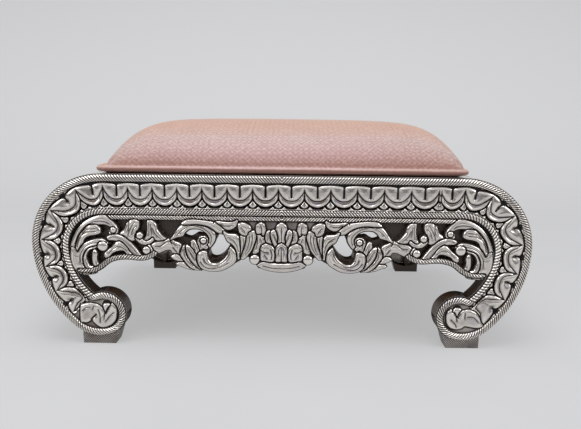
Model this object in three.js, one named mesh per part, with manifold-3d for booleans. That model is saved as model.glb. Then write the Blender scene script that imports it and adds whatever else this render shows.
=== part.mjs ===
import * as THREE from 'three';
import Module from 'manifold-3d';
import { mergeVertices } from 'three/addons/utils/BufferGeometryUtils.js';

const wasm = await Module();
wasm.setup();

// A low kneeling bench. Two wooden frames with scroll legs and a pierced apron
// are clad in embossed silver sheet. Curved end panels and a plywood deck join
// them, and a fixed cushion lies on the deck.
// Millimetres, +Z up, origin on the floor under the middle, front along -Y.

// Whole bench
const benchLength = 610;
const benchDepth = 356;
const railTopHeight = 216;

// Gap between pieces that touch, and how far a cut runs past what it cuts
const fit = 0.3;
const overrun = 5;

// Frame outline, seen from the front
const railHeight = 49;
const legBandWidth = 45.5;
const shoulderRadius = 88;
const innerShoulderRadius = 42;
const bendRadius = 45;
const scrollRadius = 28.2;
const footHeight = 11.2;
const lowerSweep = THREE.MathUtils.degToRad(48.2);
const bendSweep = THREE.MathUtils.degToRad(62.5);
const notchAngle = THREE.MathUtils.degToRad(66.9);

// Frame layers, from the relief crests inwards
const boardThickness = 20;
const sheetThickness = 0.9;
const ropeRelief = 3.8;

// Ornament on the sheets
const railPitches = 12;
const legPitches = 8;
const leafGap = 2.4;
const leafHalfWidth = 12.5;
const leafRelief = 3.2;
const ropeInset = 5;
const ropeHalfWidth = 4.2;
const rosetteRadius = 13;

// Rail joints
const railJointInset = 27.4;
const tenonLength = 24;
const tenonHeight = 30;
const tenonThickness = 8;

// Feet
const soleLength = 41;
const soleOuterInset = 55;
const soleToeLean = 6;
const footPegRadius = 4;
const footPegDepth = 15;
const footSheetLift = 0.5;

// Apron under the rail
const apronToScroll = 23.3;
const apronRopeWidth = 5.4;
const apronRelief = 3.4;
const apronDowelRadius = 4;
const apronDowelLength = 24;
const apronDowelInset = 69.6;

// End panels
const panelThickness = 12;
const panelLowerSweep = THREE.MathUtils.degToRad(15);
const panelArchLength = 220;
const panelArchHeight = 34;

// Deck and its carriers
const deckThickness = 12;
const cleatEndInset = 17;
const cleatWidth = 15;
const cleatHeight = 15;
const battenWidth = 28;
const cornerBlockWidth = 24;
const cornerBlockDepth = 30;
const cornerBlockStart = THREE.MathUtils.degToRad(5);
const cornerBlockEnd = THREE.MathUtils.degToRad(55);

// Screws
const screwShankRadius = 2;
const screwHeadRadius = 4;
const deckScrewLength = 24;
const deckScrewEndInset = 50;
const cushionScrewHeadHeight = 2.5;
const cushionScrewGrip = 6;
const cushionScrewInsetX = 69.5;
const cushionScrewInsetY = 67.5;

// Cushion
const cushionOverhang = 2.5;
const cushionSetback = 10.5;
const cushionRise = 65;
const cushionSeamRise = 9;
const cushionCornerRadius = 16;
const cushionDrawIn = 2.5;
const coverThickness = 1.2;
const weltRadius = 2.75;
const baseBoardThickness = 6;
const dustClothThickness = 0.6;
const dustClothInset = 6;

// Planes that several pieces share
const halfLength = benchLength / 2;
const halfDepth = benchDepth / 2;
const railBottomHeight = railTopHeight - railHeight;
const coreFront = ropeRelief + sheetThickness + fit;
const coreBack = coreFront + boardThickness;
const innerReach = halfDepth - coreBack - fit;
const sunk = sheetThickness / 2;

// A point of a drawing, and the point at a distance and angle from another.
const point = (x, y) => new THREE.Vector2(x, y);
const along = (from, distance, angle) =>
  point(from.x + distance * Math.cos(angle), from.y + distance * Math.sin(angle));

// Centres of the arcs that make a leg. Each arc leaves the one before it smoothly.
const shoulderCentre = point(halfLength - shoulderRadius, railTopHeight - shoulderRadius);
const railJoint = shoulderCentre.x - railJointInset;
const leafPitch = (2 * railJoint) / railPitches;
const lowerRadius =
  bendRadius + (shoulderCentre.y - bendRadius - footHeight) / Math.sin(lowerSweep);
const lowerCentre = point(halfLength - lowerRadius, shoulderCentre.y);
const bendCentre = along(lowerCentre, lowerRadius - bendRadius, -lowerSweep);
const scrollStart = -lowerSweep - bendSweep;
const scrollCentre = along(bendCentre, bendRadius - scrollRadius, scrollStart);
const innerLimit = halfLength - legBandWidth;
const cushionHalfX = shoulderCentre.x + cushionOverhang;
const cushionHalfY = halfDepth - cushionSetback;
const cushionTopHeight = railTopHeight + cushionRise;
const cushionSeamHeight = railTopHeight + cushionSeamRise;
const innerShoulderCentre = point(
  innerLimit - innerShoulderRadius,
  railBottomHeight - innerShoulderRadius,
);

// The arc inside the leg, whose centre is level with the inner shoulder's, ends at the
// notch, a point of the scroll's edge.
const notch = along(scrollCentre, scrollRadius, notchAngle);
const notchSpan = point(innerLimit - notch.x, innerShoulderCentre.y - notch.y);
const innerLegRadius = notchSpan.lengthSq() / (2 * notchSpan.x);
const innerLegCentre = point(innerLimit - innerLegRadius, innerShoulderCentre.y);

// Finishes
const finish = (color, roughness, metalness) =>
  new THREE.MeshStandardMaterial({ color, roughness, metalness, flatShading: true });
const silver = () => finish(0xc9c3bb, 0.32, 0.95);
const darkWood = () => finish(0x2e1d15, 0.6, 0);
const plywood = () => finish(0xa98760, 0.7, 0);
const steel = () => finish(0x9a9a98, 0.4, 0.9);
const foam = () => finish(0xe3d9b8, 0.95, 0);
const satin = () => finish(0xd9ab94, 0.5, 0);
const piping = () => finish(0xdfb6a5, 0.5, 0);
const dustCloth = () => finish(0x1e1c1c, 0.95, 0);

// Closed solids

function solidOf(geometry) {
  const bare = geometry.clone();
  bare.deleteAttribute('normal');
  bare.deleteAttribute('uv');
  const merged = mergeVertices(bare);
  const corners = merged.index.array;
  const at = (corner) => new THREE.Vector3().fromBufferAttribute(merged.attributes.position, corner);
  const kept = [];
  let volume = 0;
  for (let i = 0; i < corners.length; i += 3) {
    const [a, b, c] = corners.slice(i, i + 3);
    if (a === b || b === c || c === a) continue;
    kept.push(a, b, c);
    volume += at(a).dot(at(b).cross(at(c)));
  }
  if (volume < 0) kept.reverse();
  const vertProperties = new Float32Array(merged.attributes.position.array);
  const triVerts = new Uint32Array(kept);
  return new wasm.Manifold(new wasm.Mesh({ numProp: 3, vertProperties, triVerts }));
}

function geometryOf(solid) {
  const { vertProperties, triVerts } = solid.getMesh();
  const geometry = new THREE.BufferGeometry();
  geometry.setAttribute('position', new THREE.Float32BufferAttribute(vertProperties, 3));
  geometry.setIndex(Array.from(triVerts));
  geometry.computeVertexNormals();
  return geometry;
}

const joined = (geometries) =>
  geometryOf(geometries.map(solidOf).reduce((whole, next) => whole.add(next)));

const cut = (geometry, cutters) =>
  geometryOf(cutters.map(solidOf).reduce((whole, next) => whole.subtract(next), solidOf(geometry)));

// A flat outline given a thickness. It lies in the drawing plane, behind its face.
function slab(outline, thickness) {
  const shape = new THREE.Shape(outline);
  const geometry = new THREE.ExtrudeGeometry(shape, { depth: thickness, bevelEnabled: false });
  return geometry.translate(0, 0, -thickness);
}

// Turns the drawing plane upright, facing the front, with its face at the given depth.
const upright = (geometry, faceDepth) => geometry.rotateX(Math.PI / 2).translate(0, faceDepth, 0);

function block(low, high) {
  const size = high.clone().sub(low);
  const middle = high.clone().add(low).multiplyScalar(0.5);
  return new THREE.BoxGeometry(size.x, size.y, size.z).translate(middle.x, middle.y, middle.z);
}

// A round peg or hole along Z.
function peg(radius, low, high, x, y) {
  const geometry = new THREE.CylinderGeometry(radius, radius, high - low, 8);
  return geometry.rotateX(Math.PI / 2).translate(x, y, (high + low) / 2);
}

const arcPoints = (centre, radius, from, to, steps) =>
  new THREE.EllipseCurve(centre.x, centre.y, radius, radius, from, to, to < from).getPoints(steps);

const mirrored = (points, side) => points.map((p) => point(side * p.x, p.y));

// The crossing of two circles that lies to the right of the line through their centres.
function rightCrossing(centreA, radiusA, centreB, radiusB) {
  const span = centreB.clone().sub(centreA);
  const reach = (radiusA ** 2 - radiusB ** 2 + span.lengthSq()) / (2 * span.length());
  const rise = Math.sqrt(radiusA ** 2 - reach ** 2);
  return along(along(centreA, reach, span.angle()), rise, span.angle() + Math.PI / 2);
}

// The right leg, from the rail joint over the shoulder, round the scroll and back.
// A positive inset gives the same line that far inside the edge.
function legOutline(inset) {
  const turn = 2 * Math.PI;
  const crossing = rightCrossing(
    innerLegCentre, innerLegRadius + inset, scrollCentre, scrollRadius - inset,
  );
  const scrollEnd = crossing.clone().sub(scrollCentre).angle() - turn;
  const innerStart = crossing.clone().sub(innerLegCentre).angle() - turn;
  const joint = railJoint + fit / 2;
  return [
    point(joint, railTopHeight - inset),
    ...arcPoints(shoulderCentre, shoulderRadius - inset, Math.PI / 2, 0, 10),
    ...arcPoints(lowerCentre, lowerRadius - inset, 0, -lowerSweep, 6).slice(1),
    ...arcPoints(bendCentre, bendRadius - inset, -lowerSweep, scrollStart, 4).slice(1),
    ...arcPoints(scrollCentre, scrollRadius - inset, scrollStart, scrollEnd, 11).slice(1),
    ...arcPoints(innerLegCentre, innerLegRadius + inset, innerStart, 0, 5).slice(1),
    ...arcPoints(innerShoulderCentre, innerShoulderRadius + inset, 0, Math.PI / 2, 8).slice(1),
    point(joint, railBottomHeight + inset),
  ];
}

// Relief that stands on a sheet, with its base sunk into the sheet to join it

const crestWidthShare = 0.45;
const domeRingShare = 0.7;
const domeRingHeightShare = 0.7;

function ridge(points, halfWidth, height, steps) {
  const path = new THREE.CatmullRomCurve3(points.map((p) => new THREE.Vector3(p.x, p.y, 0)));
  const section = new THREE.Shape([
    point(sunk, -halfWidth),
    point(sunk, halfWidth),
    point(-height, crestWidthShare * halfWidth),
    point(-height, -crestWidthShare * halfWidth),
  ]);
  return new THREE.ExtrudeGeometry(section, { steps, extrudePath: path });
}

function dome(centre, halfWidth, halfHeight, relief, tilt = 0) {
  const profile = [
    point(0, -sunk),
    point(1, -sunk),
    point(domeRingShare, domeRingHeightShare * relief),
    point(0, relief),
  ];
  const geometry = new THREE.LatheGeometry(profile, 8, Math.PI / 8).rotateX(Math.PI / 2);
  geometry.scale(halfWidth, halfHeight, 1).rotateZ(tilt);
  return geometry.translate(centre.x, centre.y, 0);
}

// Rail

function railCore() {
  const end = railJoint - fit / 2;
  const depthMiddle = coreFront + boardThickness / 2;
  const heightMiddle = railBottomHeight + railHeight / 2;
  const board = block(
    new THREE.Vector3(-end, coreFront, railBottomHeight),
    new THREE.Vector3(end, coreBack, railTopHeight),
  );
  const tenons = block(
    new THREE.Vector3(-end - tenonLength, depthMiddle - tenonThickness / 2, heightMiddle - tenonHeight / 2),
    new THREE.Vector3(end + tenonLength, depthMiddle + tenonThickness / 2, heightMiddle + tenonHeight / 2),
  );
  return cut(joined([board, tenons]), apronDowels(fit));
}

function railSheet() {
  const end = railJoint - fit / 2;
  const middle = railBottomHeight + railHeight / 2;
  const plate = slab([
    point(-end, railBottomHeight),
    point(end, railBottomHeight),
    point(end, railTopHeight),
    point(-end, railTopHeight),
  ], sheetThickness);
  const rope = (height) => ridge([point(-end, height), point(end, height)], ropeHalfWidth, ropeRelief, 1);
  const leaves = [];
  for (let i = 0; i < railPitches; i += 1) {
    const x = (i + 0.5) * leafPitch - railJoint;
    leaves.push(dome(point(x, middle), (leafPitch - leafGap) / 2, leafHalfWidth, leafRelief));
  }
  const relief = [rope(railTopHeight - ropeInset), rope(railBottomHeight + ropeInset), ...leaves];
  return upright(joined([plate, ...relief]), ropeRelief);
}

// Legs

function mortise(side) {
  const depthMiddle = coreFront + boardThickness / 2;
  const heightMiddle = railBottomHeight + railHeight / 2;
  const halfThickness = tenonThickness / 2 + fit;
  const halfHeight = tenonHeight / 2 + fit;
  const near = side * (railJoint - tenonLength);
  const far = side * (railJoint + tenonLength + fit);
  return block(
    new THREE.Vector3(Math.min(near, far), depthMiddle - halfThickness, heightMiddle - halfHeight),
    new THREE.Vector3(Math.max(near, far), depthMiddle + halfThickness, heightMiddle + halfHeight),
  );
}

const soleMiddle = halfLength - soleOuterInset - soleLength / 2;
const footPegTop = footHeight + footPegDepth;
const footPeg = (side, clearance) =>
  peg(footPegRadius + clearance, footHeight / 2, footPegTop + clearance, side * soleMiddle,
    coreFront + boardThickness / 2);

function legCore(side) {
  const board = upright(slab(mirrored(legOutline(0), side), boardThickness), coreFront);
  return cut(board, [mortise(side), footPeg(side, fit)]);
}

// The middle line of the leg's leaf band, from the rail joint to the scroll.
function leafLine(side) {
  const inset = legBandWidth / 2;
  const line = [
    point(railJoint, railTopHeight - inset),
    ...arcPoints(shoulderCentre, shoulderRadius - inset, Math.PI / 2, 0, 12),
    ...arcPoints(lowerCentre, lowerRadius - inset, 0, -lowerSweep, 8).slice(1),
    ...arcPoints(bendCentre, bendRadius - inset, -lowerSweep, scrollStart, 5).slice(1),
  ];
  return new THREE.CatmullRomCurve3(mirrored(line, side).map((p) => new THREE.Vector3(p.x, p.y, 0)));
}

function legSheet(side) {
  const plate = slab(mirrored(legOutline(0), side), sheetThickness);
  const rope = ridge(mirrored(legOutline(ropeInset), side), ropeHalfWidth, ropeRelief, 44);
  const line = leafLine(side);
  const leaves = [];
  for (let i = 0; i < legPitches - 1; i += 1) {
    const share = (i + 0.5) / legPitches;
    const place = line.getPointAt(share);
    const heading = line.getTangentAt(share);
    const halfPitch = (leafPitch - leafGap) / 2;
    leaves.push(dome(place, halfPitch, leafHalfWidth, leafRelief, Math.atan2(heading.y, heading.x)));
  }
  const [centre] = mirrored([scrollCentre], side);
  const rosette = dome(centre, rosetteRadius, rosetteRadius, leafRelief);
  return upright(joined([plate, rope, ...leaves, rosette]), ropeRelief);
}

// Feet

// The sole is flat, the heel stands up straight and the toe leans out.
// The top meets the underside of the scroll.
function footOutline(side, bottom) {
  const heel = soleMiddle + soleLength / 2;
  const toe = soleMiddle - soleLength / 2;
  const top = footHeight + footPegDepth / 2;
  return mirrored([
    point(heel, bottom),
    point(heel, top),
    point(toe - soleToeLean, top),
    point(toe, bottom),
  ], side);
}

function underLeg(side, thickness, faceDepth) {
  const outline = mirrored(legOutline(0), side).map((p) => point(p.x, p.y - fit));
  return upright(slab(outline, thickness + fit).translate(0, 0, fit / 2), faceDepth);
}

function footBlock(side) {
  const rough = upright(slab(footOutline(side, 0), boardThickness), coreFront);
  const shaped = cut(rough, [underLeg(side, boardThickness, coreFront)]);
  return joined([shaped, footPeg(side, 0)]);
}

function footSheet(side) {
  const depth = ropeRelief;
  const rough = upright(slab(footOutline(side, footSheetLift), sheetThickness), depth);
  return cut(rough, [underLeg(side, sheetThickness, depth)]);
}

// Apron

// Points are [across, up] shares of half the apron's length and of its drop.
const lowerEdgeShares = [
  [0, 0.11], [0.054, 0.12], [0.104, 0.15], [0.138, 0.19], [0.16, 0.26], [0.192, 0.25],
  [0.223, 0.19], [0.258, 0.13], [0.3, 0.1], [0.36, 0.09], [0.415, 0.1], [0.454, 0.13],
  [0.488, 0.18], [0.506, 0.23], [0.517, 0.3], [0.522, 0.36], [0.54, 0.4], [0.565, 0.39],
  [0.588, 0.36], [0.604, 0.3], [0.635, 0.25], [0.685, 0.23], [0.738, 0.22], [0.785, 0.2],
  [0.812, 0.15], [0.838, 0.08], [0.865, 0.03], [0.9, 0], [0.935, 0], [0.958, 0.03],
];
const openingShares = [
  [[0.208, 0.85], [0.219, 0.79], [0.238, 0.77], [0.263, 0.8], [0.254, 0.74], [0.206, 0.74]],
  [[0.254, 0.66], [0.277, 0.69], [0.296, 0.67], [0.306, 0.57], [0.323, 0.49], [0.34, 0.43],
    [0.344, 0.33], [0.333, 0.25], [0.308, 0.23], [0.285, 0.27], [0.252, 0.43], [0.244, 0.54]],
  [[0.342, 0.66], [0.358, 0.71], [0.408, 0.71], [0.423, 0.64], [0.454, 0.63], [0.488, 0.61],
    [0.465, 0.53], [0.431, 0.51], [0.415, 0.59], [0.369, 0.67]],
  [[0.496, 0.89], [0.579, 0.89], [0.563, 0.68], [0.55, 0.63], [0.533, 0.64], [0.515, 0.78]],
  [[0.637, 0.89], [0.669, 0.89], [0.673, 0.8], [0.685, 0.75], [0.646, 0.69], [0.637, 0.71]],
  [[0.683, 0.59], [0.713, 0.58], [0.679, 0.44], [0.663, 0.36], [0.654, 0.39], [0.656, 0.47]],
  [[0.727, 0.89], [0.792, 0.89], [0.773, 0.81], [0.758, 0.69], [0.738, 0.77]],
  [[0.731, 0.39], [0.758, 0.4], [0.788, 0.36], [0.812, 0.29], [0.731, 0.33]],
  [[0.831, 0.35], [0.85, 0.37], [0.869, 0.36], [0.877, 0.19], [0.858, 0.19], [0.842, 0.25]],
  [[0.881, 0.39], [0.896, 0.4], [0.912, 0.33], [0.923, 0.23], [0.921, 0.15], [0.9, 0.12], [0.888, 0.25]],
  [[0.804, 0.79], [0.827, 0.83], [0.858, 0.83], [0.85, 0.75], [0.858, 0.66], [0.9, 0.62],
    [0.931, 0.54], [0.956, 0.4], [0.915, 0.52], [0.885, 0.57], [0.842, 0.6], [0.808, 0.64]],
];

// Stems on the sheet, as lines of the same shares, and round or oval leaves as
// [across, up, half width, half height, tilt in degrees], the sizes as shares of the drop.
const stemShares = [
  [[0.527, 0.61], [0.504, 0.72], [0.465, 0.81], [0.412, 0.84], [0.362, 0.79], [0.331, 0.71],
    [0.319, 0.6], [0.331, 0.51], [0.354, 0.47]],
  [[0.869, 0.51], [0.9, 0.46], [0.923, 0.37], [0.937, 0.27], [0.935, 0.16], [0.912, 0.07], [0.885, 0.06]],
];
const leafShares = [
  [0, 0.72, 0.08, 0.16, 0], [0, 0.38, 0.1, 0.16, 0], [0.05, 0.63, 0.08, 0.15, -12],
  [0.075, 0.4, 0.11, 0.12, 0], [0.127, 0.28, 0.09, 0.09, 0], [0.365, 0.56, 0.07, 0.07, 0],
  [0.635, 0.44, 0.06, 0.06, 0], [0.668, 0.65, 0.06, 0.06, 0], [0.787, 0.73, 0.06, 0.06, 0],
  [0.844, 0.46, 0.08, 0.08, 0],
];
const stemHalfWidthShare = 0.045;
const endRiseShare = 0.125;

const apronHalfLength = innerLimit;
const apronBottom = scrollCentre.y + scrollRadius + apronToScroll;
const apronDrop = railBottomHeight - apronBottom;
const apronPoint = ([across, up], side) =>
  point(side * across * apronHalfLength, apronBottom + up * apronDrop);

function apronOutline() {
  const lower = lowerEdgeShares.map((share) => apronPoint(share, 1));
  const tail = lower.at(-1);
  const endHeight = tail.y + endRiseShare * legBandWidth;
  const end = [
    ...arcPoints(innerLegCentre, innerLegRadius - fit, -Math.PI / 4, 0, 8),
    ...arcPoints(innerShoulderCentre, innerShoulderRadius - fit, 0, Math.PI / 2, 8).slice(1),
  ];
  const half = [...lower, ...end.filter((p) => p.y > endHeight)];
  return [...half, ...mirrored(half, -1).slice(1).reverse()];
}

// The openings as solids that pass right through a board or sheet of this thickness.
function apronOpenings(thickness) {
  const depth = thickness + 2 * overrun;
  const opening = (shares, side) =>
    slab(shares.map((share) => apronPoint(share, side)), depth).translate(0, 0, overrun);
  return [-1, 1].flatMap((side) => openingShares.map((shares) => opening(shares, side)));
}

function apronDowels(clearance) {
  const reach = apronDowelLength / 2 + clearance;
  return [-1, 1].map((side) => peg(
    apronDowelRadius + clearance,
    railBottomHeight - reach,
    railBottomHeight + reach,
    side * (railJoint - apronDowelInset),
    coreFront + boardThickness / 2,
  ));
}

function apronCore() {
  const board = cut(slab(apronOutline(), boardThickness), apronOpenings(boardThickness));
  return cut(upright(board, coreFront), apronDowels(fit));
}

function apronSheet() {
  const plate = slab(apronOutline(), sheetThickness);
  const ropeReach = innerShoulderCentre.x;
  const ropeHeight = railBottomHeight - fit - apronRopeWidth / 2;
  const rope = ridge(
    [point(-ropeReach, ropeHeight), point(ropeReach, ropeHeight)], apronRopeWidth / 2, apronRelief, 1,
  );
  const relief = [rope];
  for (const side of [-1, 1]) {
    for (const stem of stemShares) {
      const line = stem.map((share) => apronPoint(share, side));
      relief.push(ridge(line, stemHalfWidthShare * apronDrop, apronRelief, 8));
    }
    for (const [across, up, halfWidth, halfHeight, tilt] of leafShares) {
      if (across === 0 && side < 0) continue;
      relief.push(dome(
        apronPoint([across, up], side),
        halfWidth * apronDrop,
        halfHeight * apronDrop,
        apronRelief,
        side * THREE.MathUtils.degToRad(tilt),
      ));
    }
  }
  return upright(cut(joined([plate, ...relief]), apronOpenings(sheetThickness)), ropeRelief);
}

// End panels

// A strip that follows the shoulder and the top of the lower arc, between two depths.
function endStrip(side, outerInset, thickness) {
  const line = (inset) => [
    ...arcPoints(shoulderCentre, shoulderRadius - inset, Math.PI / 2, 0, 12),
    ...arcPoints(lowerCentre, lowerRadius - inset, 0, -panelLowerSweep, 3).slice(1),
  ];
  const outline = [...line(outerInset), ...line(outerInset + thickness).reverse()];
  const strip = upright(slab(mirrored(outline, side), 2 * innerReach), -innerReach);
  const archBottom = lowerCentre.y - lowerRadius * Math.sin(panelLowerSweep);
  const arch = new THREE.CylinderGeometry(1, 1, benchLength / 2, 24).rotateZ(Math.PI / 2);
  arch.scale(1, panelArchLength / 2, panelArchHeight);
  return cut(strip, [arch.translate((side * benchLength) / 2, 0, archBottom)]);
}

const endSheet = (side) => endStrip(side, 0, sheetThickness);
const endPanel = (side) => endStrip(side, sheetThickness + fit, panelThickness);
const panelInset = sheetThickness + fit + panelThickness;

// Deck, cleats, battens and corner blocks

const deckTop = railTopHeight - sheetThickness - fit;
const deckBottom = deckTop - deckThickness;
const carrierTop = deckBottom - fit;
const deckHalfLength = shoulderCentre.x - fit;
const cleatReach = shoulderCentre.x - cleatEndInset;
const battenInnerX = shoulderCentre.x - battenWidth / 2;
const battenTop = Math.min(carrierTop, railTopHeight - panelInset - fit);

function sideBatten(side) {
  const bottom = battenTop - cleatHeight;
  const radius = battenTop - shoulderCentre.y;
  const end = Math.acos(battenWidth / 2 / radius);
  const outline = [
    point(battenInnerX, bottom),
    point(battenInnerX, battenTop),
    ...arcPoints(shoulderCentre, radius, Math.PI / 2, end, 3),
    point(shoulderCentre.x + battenWidth / 2, bottom),
  ];
  const reach = innerReach - cleatWidth - fit;
  return upright(slab(mirrored(outline, side), 2 * reach), -reach);
}

function deckCleat(side) {
  const near = side * (innerReach - cleatWidth);
  const far = side * innerReach;
  return cut(block(
    new THREE.Vector3(-cleatReach, Math.min(near, far), carrierTop - cleatHeight),
    new THREE.Vector3(cleatReach, Math.max(near, far), carrierTop),
  ), deckScrewPlaces.filter(([, y]) => y * side > 0).map((place) => deckScrew(place, fit)));
}

function cornerBlock(side, end) {
  const outer = shoulderRadius - panelInset - fit;
  const inner = outer - cornerBlockWidth;
  const outline = [
    ...arcPoints(shoulderCentre, outer, cornerBlockEnd, cornerBlockStart, 5),
    ...arcPoints(shoulderCentre, inner, cornerBlockStart, cornerBlockEnd, 5),
  ];
  const face = end < 0 ? -innerReach : innerReach - cornerBlockDepth;
  return upright(slab(mirrored(outline, side), cornerBlockDepth), face);
}

function deck() {
  const board = block(
    new THREE.Vector3(-deckHalfLength, -innerReach, deckBottom),
    new THREE.Vector3(deckHalfLength, innerReach, deckTop),
  );
  const holes = [
    ...deckScrewPlaces.map((place) => deckScrew(place, fit)),
    ...cushionScrewPlaces.map((place) => cushionScrewShank(place, fit)),
  ];
  return cut(board, holes);
}

// Screws

const deckScrewPlaces = [-1, 1].flatMap((end) =>
  [-1, 0, 1].map((step) => [
    step * (cleatReach - deckScrewEndInset),
    end * (innerReach - cleatWidth / 2),
  ]));
const cushionScrewPlaces = [-1, 1].flatMap((end) =>
  [-1, 1].map((side) => [
    side * (cushionHalfX - cushionScrewInsetX),
    end * (cushionHalfY - cushionScrewInsetY),
  ]));

// Countersunk, driven down through the deck into a cleat.
function deckScrew([x, y], clearance) {
  const shank = screwShankRadius + clearance;
  const head = screwHeadRadius + clearance;
  const tip = -deckScrewLength - clearance;
  const geometry = new THREE.LatheGeometry([
    point(0, tip),
    point(shank, tip + shank),
    point(shank, shank - head),
    point(head, 0),
    point(head, clearance),
    point(0, clearance),
  ], 8);
  return geometry.rotateX(Math.PI / 2).translate(x, y, deckTop - clearance / 2);
}

// Driven up through the deck into the cushion's board.
const clothBottom = railTopHeight + fit;
const boardBottom = clothBottom + dustClothThickness + fit;
const cushionScrewTop = boardBottom + cushionScrewGrip;
const cushionScrewShank = ([x, y], clearance) =>
  peg(screwShankRadius + clearance, deckBottom - clearance, cushionScrewTop + clearance, x, y);

function cushionScrew([x, y]) {
  const bottom = deckBottom - fit;
  const head = peg(screwHeadRadius, bottom - cushionScrewHeadHeight, bottom, x, y);
  const shank = peg(screwShankRadius, bottom - cushionScrewHeadHeight / 2, cushionScrewTop, x, y);
  return joined([head, shank]);
}

// Cushion

// Shares of the way from the middle to the edge at which the crown has a ring of points.
const ringShares = [0.985, 0.94, 0.86, 0.72, 0.45];
const endRoundPower = 8;
const endRoundShare = 0.45;
const frontRoundPower = 2.6;
const frontRoundShare = 0.8;
const rimRoundPower = 24;

// The plan of the cushion: a rectangle with round corners whose sides are drawn in
// between the corners. An inset shrinks it by that much on each side.
function cushionEdge(inset) {
  const cornerX = cushionHalfX - cushionCornerRadius;
  const cornerY = cushionHalfY - cushionCornerRadius;
  const corner = (x, y, from) => arcPoints(point(x, y), cushionCornerRadius, from, from + Math.PI / 2, 4);
  const corners = [
    corner(cornerX, cornerY, 0),
    corner(-cornerX, cornerY, Math.PI / 2),
    corner(-cornerX, -cornerY, Math.PI),
    corner(cornerX, -cornerY, 1.5 * Math.PI),
  ];
  const edge = corners.flatMap((arc, i) => {
    const next = corners[(i + 1) % corners.length][0];
    const steps = i % 2 === 0 ? 6 : 5;
    const side = [];
    for (let step = 1; step < steps; step += 1) {
      side.push(arc.at(-1).clone().lerp(next, step / steps));
    }
    return [...arc, ...side];
  });
  const scaleX = (cushionHalfX - inset) / cushionHalfX;
  const scaleY = (cushionHalfY - inset) / cushionHalfY;
  const drawn = (across, half) => 1 - (cushionDrawIn / half) * (1 - across ** 2);
  return edge.map((p) => point(
    p.x * scaleX * drawn(p.y / cushionHalfY, cushionHalfX),
    p.y * scaleY * drawn(p.x / cushionHalfX, cushionHalfY),
  ));
}

// Height of the crown over a point of the plan: ends rise steeply to a long flat top,
// front and back roll over slowly, and the rim rounds down to the seam.
function crownHeight(p, share, inset) {
  const rise = cushionTopHeight - cushionSeamHeight - inset;
  const u = Math.min(1, Math.abs(p.x) / (cushionHalfX - inset));
  const v = Math.min(1, Math.abs(p.y) / (cushionHalfY - inset));
  const ends = (1 - u ** endRoundPower) ** endRoundShare;
  const sides = (1 - v ** frontRoundPower) ** frontRoundShare;
  return rise * ends * sides * Math.sqrt(1 - share ** rimRoundPower);
}

// Rings of points from the lower edge up over the crown to the middle.
function crownRings(inset, bottom) {
  const edge = cushionEdge(inset);
  const ring = (share, height) => edge.map((p) => {
    const place = p.clone().multiplyScalar(share);
    return [place.x, place.y, height(place)];
  });
  return [
    ring(1, () => bottom),
    ring(1, () => cushionSeamHeight),
    ...ringShares.map((share) => ring(share, (p) => cushionSeamHeight + crownHeight(p, share, inset))),
  ];
}

// A skin over rings of equal length that follow each other, closed by a point at each
// end. The first rows run downwards, and their four-cornered fields are split the
// other way, so that skins one inside the other have the same folds.
function ringSolid(rings, first, last, downwardRows = 0) {
  const count = rings[0].length;
  const positions = rings.flat(2);
  const corners = [];
  for (let row = 0; row + 1 < rings.length; row += 1) {
    for (let i = 0; i < count; i += 1) {
      const a = row * count + i;
      const b = row * count + ((i + 1) % count);
      const [c, d] = [b + count, a + count];
      corners.push(...(row < downwardRows ? [a, b, d, b, c, d] : [a, b, c, a, c, d]));
    }
  }
  const cap = (centre, row, flip) => {
    const tip = positions.length / 3;
    positions.push(...centre);
    for (let i = 0; i < count; i += 1) {
      const a = row * count + i;
      const b = row * count + ((i + 1) % count);
      corners.push(...(flip ? [a, tip, b] : [a, b, tip]));
    }
  };
  cap(first, 0, true);
  cap(last, rings.length - 1, false);
  const geometry = new THREE.BufferGeometry();
  geometry.setAttribute('position', new THREE.Float32BufferAttribute(positions, 3));
  geometry.setIndex(corners);
  return geometry;
}

const boardTop = boardBottom + baseBoardThickness;
const crownTop = (inset) => [0, 0, cushionTopHeight - inset];

// The fabric is open below. Its inner face runs up, over and back to the outer one.
function cushionCover() {
  const hem = clothBottom;
  const outer = crownRings(0, hem);
  const inner = crownRings(coverThickness, hem);
  const skin = ringSolid(
    [...inner.reverse(), ...outer], crownTop(coverThickness), crownTop(0), inner.length,
  );
  return geometryOf(solidOf(skin));
}

function cushionFoam() {
  const inset = coverThickness + fit;
  const bottom = boardTop + fit;
  return geometryOf(solidOf(ringSolid(crownRings(inset, bottom), [0, 0, bottom], crownTop(inset))));
}

function cushionBoard() {
  const board = slab(cushionEdge(coverThickness + fit), baseBoardThickness).translate(0, 0, boardTop);
  return cut(board, cushionScrewPlaces.map((place) => cushionScrewShank(place, fit)));
}

function cushionDustCloth() {
  const cloth = slab(cushionEdge(dustClothInset), dustClothThickness);
  cloth.translate(0, 0, clothBottom + dustClothThickness);
  return cut(cloth, cushionScrewPlaces.map((place) => cushionScrewShank(place, fit)));
}

// A round cord that lies against the cover all the way round, just outside its seam.
function cushionWelt() {
  const line = cushionEdge(-fit - weltRadius);
  const sides = 6;
  const positions = [];
  const corners = [];
  line.forEach((p, i) => {
    const heading = line[(i + 1) % line.length].clone().sub(line.at(i - 1)).normalize();
    for (let j = 0; j < sides; j += 1) {
      const angle = (2 * Math.PI * j) / sides;
      const out = weltRadius * Math.cos(angle);
      const height = cushionSeamHeight + weltRadius * Math.sin(angle);
      positions.push(p.x + out * heading.y, p.y - out * heading.x, height);
      const next = ((i + 1) % line.length) * sides;
      const [a, b] = [i * sides + j, i * sides + ((j + 1) % sides)];
      const [c, d] = [next + ((j + 1) % sides), next + j];
      corners.push(a, b, c, a, c, d);
    }
  });
  const geometry = new THREE.BufferGeometry();
  geometry.setAttribute('position', new THREE.Float32BufferAttribute(positions, 3));
  geometry.setIndex(corners);
  return geometryOf(solidOf(geometry));
}

// Assembly

const bench = new THREE.Group();

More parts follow.
